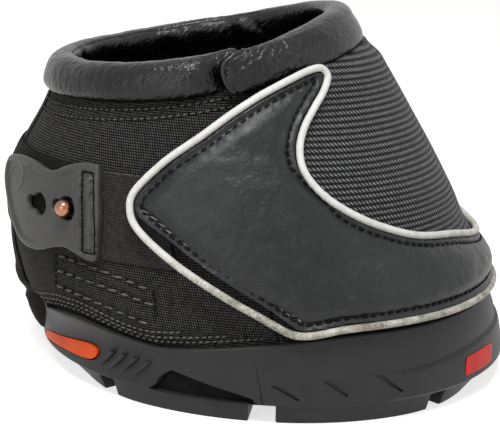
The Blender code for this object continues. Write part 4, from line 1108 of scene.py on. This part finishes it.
def make_straps():
    """Heel strap under the tab, its sewn far end, the elastic and the loop patches."""
    strap = (0.383 * BOOT_HEIGHT, 0.600 * BOOT_HEIGHT)
    elastic = (0.378 * BOOT_HEIGHT, 0.595 * BOOT_HEIGHT)

    def strap_face(turn, height):
        edge = np.minimum(height - strap[0], strap[1] - height)
        wave = soft_noise(on_body(turn, height), 14 * MM, 11) * 0.12 * MM
        return 1.35 * MM + wave - 0.25 * MM * ridge(edge, 0.8 * MM)

    piece = cloth_panel("strap_webbing", (-232.0, -127.9), strap, 0.9 * MM, strap_face,
                        0.9 * MM, -125.0)
    dress(piece, "webbing", "boot", "webbing", "heel_strap")
    piece = cloth_panel("strap_end_patch", (112.0, 127.2), strap, 0.9 * MM, strap_face,
                        0.9 * MM, 120.0)
    dress(piece, "leather", "boot", "collar_leather", "strap_anchor")

    def elastic_face(turn, height):
        edge = np.minimum(height - elastic[0], elastic[1] - height)
        gathers = np.sin(height / (1.6 * MM) * math.pi) * 0.06 * MM
        return 1.3 * MM + gathers - 0.3 * MM * ridge(edge, 0.7 * MM)

    piece = cloth_panel("elastic_webbing", (-127.3, -108.6), elastic, 0.4 * MM, elastic_face,
                        0.9 * MM, -115.0)
    dress(piece, "elastic", "boot", "elastic", "elastic_band")
    edge = scaled(((-126.9, 68.1), (-120.0, 68.3), (-114.4, 68.3)), MM)
    thread = stitches("elastic_edge", [edge], offset=1.25 * MM, pitch=0.9 * MM, share=1.1,
                      radius=0.2 * MM, lean=12)
    dress(thread, "pale_thread", "boot", "elastic")

    for name, node, turns, shares in (
            ("near_loops", "loop_patch", (-107.0, -83.0), (0.425, 0.650)),
            ("far_loops", "inner_loop_patch", (31.0, 41.0), (0.375, 0.760))):
        piece = cloth_panel(name, turns, [share * BOOT_HEIGHT for share in shares], 1.2 * MM,
                            0.85 * MM, 0.5 * MM)
        dress(piece, "hooks", "boot", "hook_and_loop", node)


# Collar


def roll_offsets(angle, half, depth):
    """Offsets and heights round the soft section of a roll at angles in radians."""
    c, s = np.cos(angle), np.sin(angle)
    power = 2 / 2.4
    return half * np.sign(c) * abs(c) ** power, depth * np.sign(s) * abs(s) ** power


def thinned_roll(flat, thickness, offset):
    """Centre offset and half thickness of a roll, thinned to its lapped part where flat is 1."""
    half = (COLLAR_THICKNESS + (thickness - COLLAR_THICKNESS) * flat) / 2
    return -COLLAR_INSET + (offset + COLLAR_INSET) * flat, half


def fixed_roll(turn):
    """Centre offset and half thickness of the fixed roll, flat where the flap laps it."""
    near = np.where(turn > 0, turn - 360, turn)
    return thinned_roll(smoothstep((near + 96.0) / 19.0), 4.0 * MM, -2.8 * MM)


def flap_roll(turn):
    """Centre offset and half thickness of the flap's roll, thin where it laps the fixed one."""
    return thinned_roll(smoothstep((turn + 50.0) / -33.0), 3.4 * MM, 3.4 * MM)


def creases(places, along, size, seed):
    """Sharp folds of soft leather, from -1 in a fold to 0, stretched along a direction."""
    along = along / np.linalg.norm(along, axis=1, keepdims=True)
    squeezed = places - along * ((places * along).sum(1, keepdims=True) * 0.78)
    fold = soft_noise(squeezed, size, seed)
    fine = soft_noise(squeezed, size * 0.45, seed + 5)
    return (-(1 - np.clip(abs(fold) * 3.2, 0, 1)) ** 2
            - 0.45 * (1 - np.clip(abs(fine) * 3, 0, 1)) ** 2)


def padded_roll(name, start, end, shape, face, corner=(0.0, 0.0)):
    """Closed roll along the collar line, its skin moved by a rule and its ends tapered."""
    columns = round(abs(end - start) * 1.7)
    item, across, up = add_grid(name, columns, 64)
    across = across * (0.35 + 0.65 * across)
    angle = 2 * math.pi * up
    rise = np.sin(angle)
    cut_back = corner[0] * np.clip(rise, 0, 1) ** 3 + corner[1] * np.clip(-rise, 0, 1) ** 3
    turn = start + (end - start) * across + cut_back * np.clip(1 - across * 7, 0, 1)
    centre, half = shape(turn)
    gap = abs(turn - start - cut_back) * MM
    taper = 0.5 + 0.5 * np.sqrt(1 - (1 - np.clip(gap / (2.0 * MM), 0, 1)) ** 2)
    out, rise = roll_offsets(angle, half * taper, COLLAR_DEPTH / 2 * (0.75 + 0.25 * taper))
    middle = collar_top(turn) - COLLAR_DEPTH / 2
    plain = on_body(turn, middle + rise, centre + out)
    axis = on_body(turn, middle, centre)
    push = plain - axis
    push /= np.maximum(np.linalg.norm(push, axis=1, keepdims=True), 1e-6)
    along = on_body(turn + 0.5, middle) - on_body(turn - 0.5, middle)
    amount = face(turn, np.degrees(angle), plain, along, half, gap / MM)
    write_points(item, plain + push * amount[:, None])
    outward(item, fill=True)
    shade(item, 60)
    return item


def fixed_face(turn, angle, places, along, half, gap):
    """Skin of the fixed collar: creases, broad dents, pleats inside and a seam on top."""
    full = np.clip(half / (5 * MM), 0, 1)
    near = np.where(turn > 0, turn - 360, turn)
    amount = creases(places, along + np.array([0, 0, 1.0]) * 0.01, 3.4 * MM, 2.0) * 0.14 * MM
    amount += soft_noise(places, 11 * MM, 4.0) * 0.35 * MM * full
    inside = ridge(angle - 168, 48)
    pleats = np.sin(np.radians(near) * 21 + soft_noise(places, 12 * MM, 6) * 3.0)
    deep = 0.75 + 0.5 * soft_noise(places, 14 * MM, 8)
    amount += inside * full * deep * (pleats * 0.75 * MM)
    seam = ridge(angle - 118, 5.0)
    return amount - seam * 0.55 * MM * full


def flap_face(turn, angle, places, along, half, gap):
    """Skin of the flap's collar: a bound end, and slanted creases that fade to the front."""
    full = np.clip(half / (5 * MM), 0.3, 1)
    near = smoothstep((-turn - 40) / 20)
    slanted = along + np.array([0, 0, 1.1]) * np.linalg.norm(along, axis=1, keepdims=True)
    calm = smoothstep((gap - 4.5) / 3)
    front = smoothstep((np.cos(np.radians(angle)) + 0.1) / 0.5)
    amount = creases(places, slanted, 2.4 * MM, 12.0) * (0.08 + 0.34 * near * calm * front) * MM
    amount += soft_noise(places, 10 * MM, 14.0) * 0.25 * MM * full
    amount += 0.35 * MM * ridge(angle - 66, 5) * (1 - smoothstep((turn + 50) / 20))
    front = (angle < 120) | (angle > 240)
    cord, groove, edge = (ridge(gap - at, width) * front
                          for at, width in ((0.6, 0.5), (1.5, 0.4), (2.5, 0.45)))
    return amount + 0.3 * MM * cord - 0.5 * MM * groove + 0.3 * MM * edge


def collar_end(angle, start, rise, reach, lift):
    """Turn, height and offset of a point round the flap collar's end, at an angle in radians."""
    turn = start + COLLAR_CORNERS[0 if angle > 0 else 1] * abs(math.sin(angle)) ** 3
    centre, half = flap_roll(turn)
    height = float(collar_top(turn)) + COLLAR_DEPTH / 2 * (rise * math.sin(angle) - 1)
    return turn, height, float(centre + half * reach * math.cos(angle) ** 0.83) + lift


def make_collars():
    """The fixed padded collar and the flap's."""
    gap = 0.12 * MM / metres_per_degree(collar_hinge_turn(), 0.1)
    piece = padded_roll("collar_roll", FIXED_COLLAR_START, collar_hinge_turn() + gap - 360,
                        fixed_roll, fixed_face)
    dress(piece, "leather", "boot", "collar_leather", "collar_cover", "collar_foam")
    piece = padded_roll("flap_roll", FLAP_COLLAR_START, collar_hinge_turn() - gap, flap_roll,
                        flap_face, COLLAR_CORNERS)
    dress(piece, "leather", "outer_flap", "collar_leather", "flap_collar")

    seam = np.array([collar_end(angle, -82.7, 0.94, 1.0, -0.1 * MM)
                     for angle in np.radians(np.linspace(-62, 62, 24))])
    levels = np.linspace(seam[0, 1], seam[-1, 1], len(seam))
    thread = stitches("collar_end_stitches", [seam[:, :2]],
                      lambda turns, heights: np.interp(heights, levels, seam[:, 2]),
                      pitch=1.35 * MM, share=0.66, radius=0.22 * MM)
    dress(thread, "pale_thread", "outer_flap", "collar_leather")

    binding = np.array([on_body(*collar_end(angle, -84.3, 0.96, 0.85, 0.25 * MM))
                        for angle in np.radians(np.linspace(-72, 80, 40))])
    piece = tube_on("collar_end_binding", binding, 0.5 * MM, 8)
    dress(piece, "leather", "outer_flap", "collar_leather")


# Outer flap


LINE_STEPS = 8


def overlay_line():
    """Line of the piping, from the far hinge round the near tip and back along the hem."""
    low_turn = flap_far_turn(TOE_WALL_HEIGHT, OVERLAY_UNDER)
    hem = [(turn, float(flap_hem(turn)) + 2.4 * MM) for turn in (*OVERLAY_HEM_TURNS, low_turn)]
    high = (OVERLAY_FAR_TOP[-1][1] + 0.022) * BOOT_HEIGHT
    top = scaled([*reversed(OVERLAY_FAR_TOP), *OVERLAY_TOP, *OVERLAY_TIP])
    top.insert(0, (flap_far_turn(high, OVERLAY_UNDER), high))
    return np.array(smooth_line([*top, *hem], False, LINE_STEPS))


def cut_panel(name, outline, cell):
    """Flat slab of fine cells inside an outline, a millimetre thick, for laying on the body."""
    flat = np.array(outline) * (MM, 1)
    low, high = flat.min(0) - cell, flat.max(0) + cell
    columns, rows = np.ceil((high - low) / cell).astype(int)
    item, across, up = add_grid(name, int(columns), int(rows))
    shares = np.stack([across, up], -1)
    write_points(item, np.hstack([low + (high - low) * shares, np.zeros((len(shares), 1))]))
    extrude_up(item, MM)
    outward(item)
    return cut(item, flat_tool(outline), "INTERSECT")


def lay(item, rule, turn_zero=0.0, place=on_body):
    """Move a flat slab on to the body, its two sides at offsets given by a rule."""
    flat = read_points(item)
    turn, height, outer = flat[:, 0] / MM, flat[:, 1], flat[:, 2] > 0.5 * MM
    write_points(item, place(turn, height, rule(turn, height, outer)))
    write_cloth_map(item, turn, height, turn_zero)
    outward(item)
    shade(item, 50)
    return item


def out_of_line(places, distance):
    """Places moved out from the boot's upright axis by a distance."""
    level = places * (1, 1, 0)
    return places + level / np.linalg.norm(level, axis=1, keepdims=True) * distance


def make_overlay(line):
    """Leather overlay: a flat welt at the edge, a sewn valley and a soft pillow inside."""
    edge = kept_inside(line, 0.9 * MM)
    far = [(flap_far_turn(height, OVERLAY_UNDER), height)
           for height in np.linspace(edge[-1][1], edge[0][1], 8)]
    outline = [far[-1], *(tuple(point) for point in edge[1:-1]), *far[:-1]]
    run = on_line(edge)

    def face(turn, height, outer):
        places = on_body(turn, height)
        gap = distance_to(places, run) / MM
        welt = smoothstep(gap / 0.5)
        valley = ridge(gap - 2.05, 0.72)
        pillow = smoothstep((gap - 2.2) / 4.0)
        wave = soft_noise(places, 15 * MM, 21) * 0.35 + soft_noise(places, 5 * MM, 23) * 0.12
        pucker = soft_noise(places, 1.9 * MM, 25) * 0.34 * ridge(gap - 3.0, 1.2)
        top = 6.0 + 0.8 * welt - 0.95 * valley + 0.95 * pillow + wave * pillow + pucker
        return np.where(outer, top * MM, OVERLAY_UNDER)

    piece = lay(cut_panel("overlay_leather_panel", outline, 0.62 * MM), face)
    places = read_points(piece)
    # Pale edge band: wear all round the edge, stronger on the low run where it is a painted sheen
    gap = distance_to(places, out_of_line(run, 1.5 * MM)) / MM
    low = 1 - smoothstep((places[:, 2] / MM - 38) / 14)
    low = np.maximum(low * (places[:, 2] / BOOT_HEIGHT < 0.5), 0.22)
    layer = piece.data.attributes.new("wear_and_sheen", "FLOAT", "POINT")
    layer.data.foreach_set("value", low * (1 - smoothstep((gap - 0.9) / 1.3)))
    dress(piece, "overlay", "outer_flap", "overlay_leather", "flap_overlay")

    seam = kept_inside(line, 2.95 * MM)
    thread = stitches("overlay_stitches", [seam], offset=6.2 * MM, pitch=2.6 * MM, share=0.80,
                      radius=0.50 * MM, lean=5)
    dress(thread, "thread", "outer_flap", "overlay_leather")


def make_flap_body(line):
    """Ribbed front cloth of the flap, slightly domed in the opening of the overlay."""
    tip_start = LINE_STEPS * (1 + len(OVERLAY_FAR_TOP) + len(OVERLAY_TOP))
    near = kept_inside(line[tip_start:], 3.6 * MM)
    top = [(turn, float(upper_top(turn)) + 1.2 * MM)
           for turn in np.linspace(near[0][0], flap_far_turn(0.09), 60)[::-1]]
    far = [(flap_far_turn(height), height) for height in np.linspace(near[-1][1], top[0][1], 14)]
    top = [point for point in top if near[0][0] + 0.5 < point[0] < far[-1][0] - 0.6]
    outline = [tuple(point) for point in near if point[0] < far[0][0] - 0.5] + far + top
    inner_edge = on_line(line[:tip_start])

    def face(turn, height, outer):
        places = on_body(turn, height)
        gap = distance_to(places, inner_edge) / MM
        dome = smoothstep(gap / 16) * 1.3
        wave = soft_noise(places, 17 * MM, 31) * 0.25
        far_side = smoothstep((60 - turn) / 25)
        tuck = 2.3 * smoothstep((height - upper_top(turn)) / MM / 5 + 0.8)
        return np.where(outer, 5.0 + (dome + wave) * far_side, 3.25) * MM - tuck * MM

    piece = lay(cut_panel("ribbed_panel", outline, 1.1 * MM), face)
    dress(piece, "ribbed", "outer_flap", "ribbed_nylon", "flap_body")


def make_flap():
    """Outer flap: ribbed cloth, leather overlay, piping, hooks and its seam."""
    line = overlay_line()
    make_overlay(line)
    make_flap_body(line)
    cord = even_line(line, 1.0 * MM)
    piece = tube_on("piping_cord", on_line(cord, PIPING_OFFSET), PIPING_RADIUS, 12)
    dress(piece, "piping", "outer_flap", "piping", "flap_piping")
    piece = cloth_panel("hook_tape", (-105.0, -84.0), (0.440 * BOOT_HEIGHT, 0.630 * BOOT_HEIGHT),
                        1.2 * MM, 2.85 * MM, 1.5 * MM)
    dress(piece, "hooks", "outer_flap", "hook_and_loop", "hook_patch")


def make_inner_flap():
    """Inner flap and the tapes of both sewn edges."""
    def near_edge(height):
        return hinge_turn(INNER_HINGE_PLACE, height, 1.2 * MM, -1)

    piece = cloth_panel("inner_flap_cloth", (near_edge, 42.0),
                        (flap_hem, lambda turn: upper_top(turn) - 4 * MM), 1.6 * MM, 2.55 * MM,
                        1.15 * MM)
    dress(piece, "cloth", "inner_flap", "woven_nylon", "inner_flap")
    for name, node, place, side, outer in (
            ("inner_seam_tape", "inner_flap_seam", INNER_HINGE_PLACE, -1, 2.6 * MM),
            ("outer_seam_tape", "flap_seam", FLAP_HINGE_PLACE, 1, 5.0 * MM)):
        def back(height):
            return hinge_turn(place, height, 0.3 * MM, side, -HINGE_GAP / 2 - 8 * MM)

        def front(height):
            return hinge_turn(place, height, outer, side, -HINGE_GAP / 2)

        def face(turn, height):
            rise = smoothstep((turn - back(height)) / (front(height) - back(height)))
            return 0.9 * MM + (outer - 0.9 * MM) * rise

        turns = (back, front) if side < 0 else (front, back)
        piece = cloth_panel(name, turns, (flap_hem, upper_top), 1.0 * MM, face, 0.55 * MM)
        dress(piece, "tape", "boot", "seam_tape", node)


# Latch


# Radius and shift in mm, first and last angle, and number of points
KEYHOLE_ARCS = ((3.2, 0, -144, 144, 26), (2.0, -3.9, 74, 286, 16))


def keyhole(turn, height):
    """Outline of a keyhole: a large round and, towards the heel, a small one."""
    scale = float(metres_per_degree(turn, height))
    points = []
    for radius, shift, start, end, count in KEYHOLE_ARCS:
        for index in range(count):
            angle = math.radians(start + (end - start) * index / (count - 1))
            points.append((turn + (shift + radius * math.cos(angle)) * MM / scale,
                           height + radius * math.sin(angle) * MM))
    return points


TAB_HOLES = ((-143.6, 0.480 * BOOT_HEIGHT), (-133.8, 0.487 * BOOT_HEIGHT))


def seam_place(height):
    """Turn of the tab's first seam, which bows with the sewn edge."""
    return -128.85 - 0.9 * ((height / MM - 55.6) / 11) ** 2


def make_tab():
    """Rubber tab: a raised rim round a sunk panel, two keyholes and a sewn slot."""
    outline = even_line(smooth_line(scaled(TAB_OUTLINE), True, 6), 0.6 * MM, True)
    run = closed_run(outline, TAB_LEVEL)
    panel = cut_panel("latch_tab_rubber", outline, 0.34 * MM)
    holes = []
    for turn, height in TAB_HOLES:
        hole = keyhole(turn, height)
        cut(panel, flat_tool(hole))
        holes.append(closed_run(even_line(hole, 0.5 * MM, True), TAB_LEVEL))

    def face(turn, height, outer):
        places = out_along_normal(turn, height, TAB_LEVEL)
        gap = distance_to(places, run) / MM
        hole_gap = np.min([distance_to(places, hole) for hole in holes], 0) / MM
        step = turn - seam_place(height)
        flange = smoothstep((step + 3.2) / 0.5)
        rim = np.maximum(1 - smoothstep((gap - 2.0) / 0.45), flange)
        corner = 1 - np.sqrt(np.clip(1 - (1 - np.clip(gap / 0.8, 0, 1)) ** 2, 0, 1))
        lip = 0.12 * ridge(hole_gap - 0.6, 0.5)
        hole_corner = 0.4 * np.clip(1 - hole_gap / 0.35, 0, 1) ** 2
        up = (abs(height - TAB_SEAM_MIDDLE) - TAB_SEAM_HALF) / MM
        inside_slot = smoothstep((0.5 - up) / 0.5) * window(step, -0.8, 3.6, 0.4)
        pad = smoothstep((-1.0 - up) / 0.4) * window(step, 0.35, 2.45, 0.4)
        ring = np.hypot(turn + 155.8, height / MM - 60.2)
        boss = 0.28 * ridge(ring - 3.9, 0.45)
        top = 3.5 + 0.7 * rim - 0.8 * corner + lip - hole_corner + boss \
            - 1.0 * inside_slot + 0.8 * pad
        return np.where(outer, top, 1.85) * MM

    piece = lay(panel, face, -140.0, out_along_normal)
    dress(piece, "tab", "latch_tab", "tab_rubber", "latch_tab")

    low, high = TAB_SEAM_MIDDLE - TAB_SEAM_HALF, TAB_SEAM_MIDDLE + TAB_SEAM_HALF
    heights = np.linspace(low, high, 12)
    sides = [[(seam_place(height) + step, height) for height in heights] for step in (-0.3, 3.0)]
    ends = [[(seam_place(height) + step, height) for step in (0.0, 2.8)] for height in (low, high)]
    thread = stitches("tab_stitches", sides + ends, offset=3.45 * MM, pitch=1.6 * MM,
                      share=1.12, radius=0.30 * MM, place=out_along_normal)
    dress(thread, "thread", "latch_tab", "tab_rubber")


def turned_part(name, profile, turn, height):
    """Part turned on a lathe from a profile of radius and level in mm, square to the body."""
    item = add_shape("circle", name, vertices=len(profile), radius=1)
    write_points(item, np.array([(radius, 0, up) for radius, up in profile]) * MM)
    edit(item, ("spin", {"steps": 40, "angle": math.radians(360), "center": (0, 0, 0),
                         "axis": (0, 0, 1)}))
    outward(item)
    face = Vector(out_of_body(turn, height)).to_track_quat("Z", "Y").to_matrix().to_4x4()
    item.data.transform(Matrix.Translation(on_body(turn, height)) @ face)
    shade(item)
    return item


def make_stud():
    """Copper stud with a polished ball head, riveted through a dark washer on the strap."""
    turn, height = TAB_HOLES[1]
    profile = [(0.0, 7.4)]
    for index in range(1, 15):
        angle = math.radians(90 - 146 * index / 14)
        profile.append((2.65 * math.cos(angle), 4.8 + 2.6 * math.sin(angle)))
    profile += [(1.4, 2.8), (1.4, 1.9), (0.0, 1.9)]
    item = turned_part("copper_stud", profile, turn, height)
    dress(item, "copper", "boot", "copper", "stud")
    profile = [(1.4, 1.5), (2.4, 1.5), (2.6, 1.7), (2.6, 2.0), (2.4, 2.2), (1.9, 2.3),
               (1.45, 2.3), (1.4, 2.1)]
    item = turned_part("stud_washer", profile, turn, height)
    dress(item, "thread", "boot", "copper")


def make_side_stitches():
    """Thread of the seams on the quarters, each stitch pulled down at its ends."""
    rows, foot, marks = [], [], []
    for side in (-1, 1):
        lines = sewn_lines(side)
        rows += lines[:2]
        foot += lines[2:5]
        marks += lines[5:]
    for name, finish_name, lines, pitch, radius, lean, level in (
            ("collar_seam_stitches", "pale_thread", rows, 2.2, 0.26, 6, 0.06),
            ("foot_stitches", "pale_thread", foot, 2.0, 0.32, 8, 0.12),
            ("box_stitches", "pale_thread", marks[:3], 4.2, 0.40, 8, 0.22),
            ("box_end_stitches", "thread", marks[3:], 2.2, 0.36, 0, 0.15)):
        thread = stitches(name, lines, level * MM, pitch * MM, share=0.8, radius=radius * MM,
                          lean=lean)
        dress(thread, finish_name, "boot", "woven_nylon")
    # Needle holes are dark beads laid on the cloth, as painted shade of the holes
    for name, lines, pitch, radius in (("needle_holes", marks[:3], 3.6, 0.55),
                                       ("small_needle_holes", rows, 2.2, 0.38)):
        between = [(line[1:] + line[:-1]) / 2
                   for line in (even_line(line, pitch * MM) for line in lines)]
        holes = stitches(name, between, 0.05 * MM, pitch * MM, share=0.36, radius=radius * MM)
        dress(holes, "thread", "boot", "woven_nylon")


# Floor, light and camera


# Name, place, size and power
LAMPS = (
    ("top_lamp", (-0.1, -0.42, 0.86), 0.40, 6.8),
    ("front_lamp", (-0.6, -1.05, 0.42), 0.7, 2.6),
    ("toe_lamp", (0.95, -0.45, 0.45), 0.6, 1.1),
)
LAMP_AIM = (0, 0, 0.05)

# The photograph's camera, as fitted to the boot's outline
CAMERA_PLACE = (-0.028, -0.490, 0.168)
CAMERA_ANGLES = (2.0, -14.0, 2.5)
FOCAL_PIXELS = 1550
PHOTO_WIDTH = 500
SENSOR_WIDTH = 36


def seen_ray(add):
    """1 for rays that show the floor or world itself, 0 for those that light the boot."""
    way = add("LightPath").node.outputs
    seen = add("Math MAXIMUM", way["Is Camera Ray"], way["Is Glossy Ray"])
    return add("Math MAXIMUM", seen, way["Is Transmission Ray"])


def make_studio():
    """Pale floor, soft lamps and the camera of the photograph."""
    floor = add_shape("plane", "floor", size=6)
    add = new_material("floor", "pale_floor", Roughness=0.9, Emission_Color=(1, 1, 1, 1))
    add("Math MULTIPLY", seen_ray(add), 0.70, to="Emission Strength")
    add("ValToRGB", add("TexNoise", {"Detail": 1}, size=400 * MM),
        stops=((0.0, "#dcd9d6"), (1.0, "#e2dfdc")), to="Base Color")
    floor.data.materials.append(finish["floor"])

    world = bpy.context.scene.world = bpy.data.worlds.new("studio")
    world.use_nodes = True
    add = functools.partial(add_node, world.node_tree)
    color = add("Mix", {0: seen_ray(add), 6: (0.22, 0.22, 0.225, 1), 7: (1, 1, 1, 1)}, out=2,
                data_type="RGBA")
    world.node_tree.links.new(color, world.node_tree.nodes["Background"].inputs["Color"])

    for name, place, size, power in LAMPS:
        bpy.ops.object.light_add(type="AREA", location=place)
        lamp = bpy.context.object
        lamp.name = name
        lamp.data.size = size
        lamp.data.energy = power
        aim = Vector(LAMP_AIM) - lamp.location
        lamp.rotation_mode = "QUATERNION"
        lamp.rotation_quaternion = aim.to_track_quat("-Z", "Y")

    data = bpy.data.cameras.new("camera")
    data.sensor_width = SENSOR_WIDTH
    data.lens = FOCAL_PIXELS / PHOTO_WIDTH * SENSOR_WIDTH
    camera = bpy.data.objects.new("camera", data)
    bpy.context.scene.collection.objects.link(camera)
    yaw, pitch, roll = (math.radians(angle) for angle in CAMERA_ANGLES)
    forward = Vector((math.sin(yaw) * math.cos(pitch), math.cos(yaw) * math.cos(pitch),
                      math.sin(pitch)))
    right = forward.cross(Vector((0, 0, 1))).normalized()
    up = right.cross(forward)
    right, up = (right * math.cos(roll) + up * math.sin(roll),
                 up * math.cos(roll) - right * math.sin(roll))
    camera.matrix_world = Matrix.Translation(CAMERA_PLACE) @ Matrix(
        (right, up, -forward)).transposed().to_4x4()
    bpy.context.scene.camera = camera
    bpy.context.scene.view_settings.view_transform = "Standard"


make_outsole()
make_sole_pieces()
make_quarters()
make_inside()
make_straps()
make_collars()
make_flap()
make_inner_flap()
make_tab()
make_stud()
make_side_stitches()
make_studio()
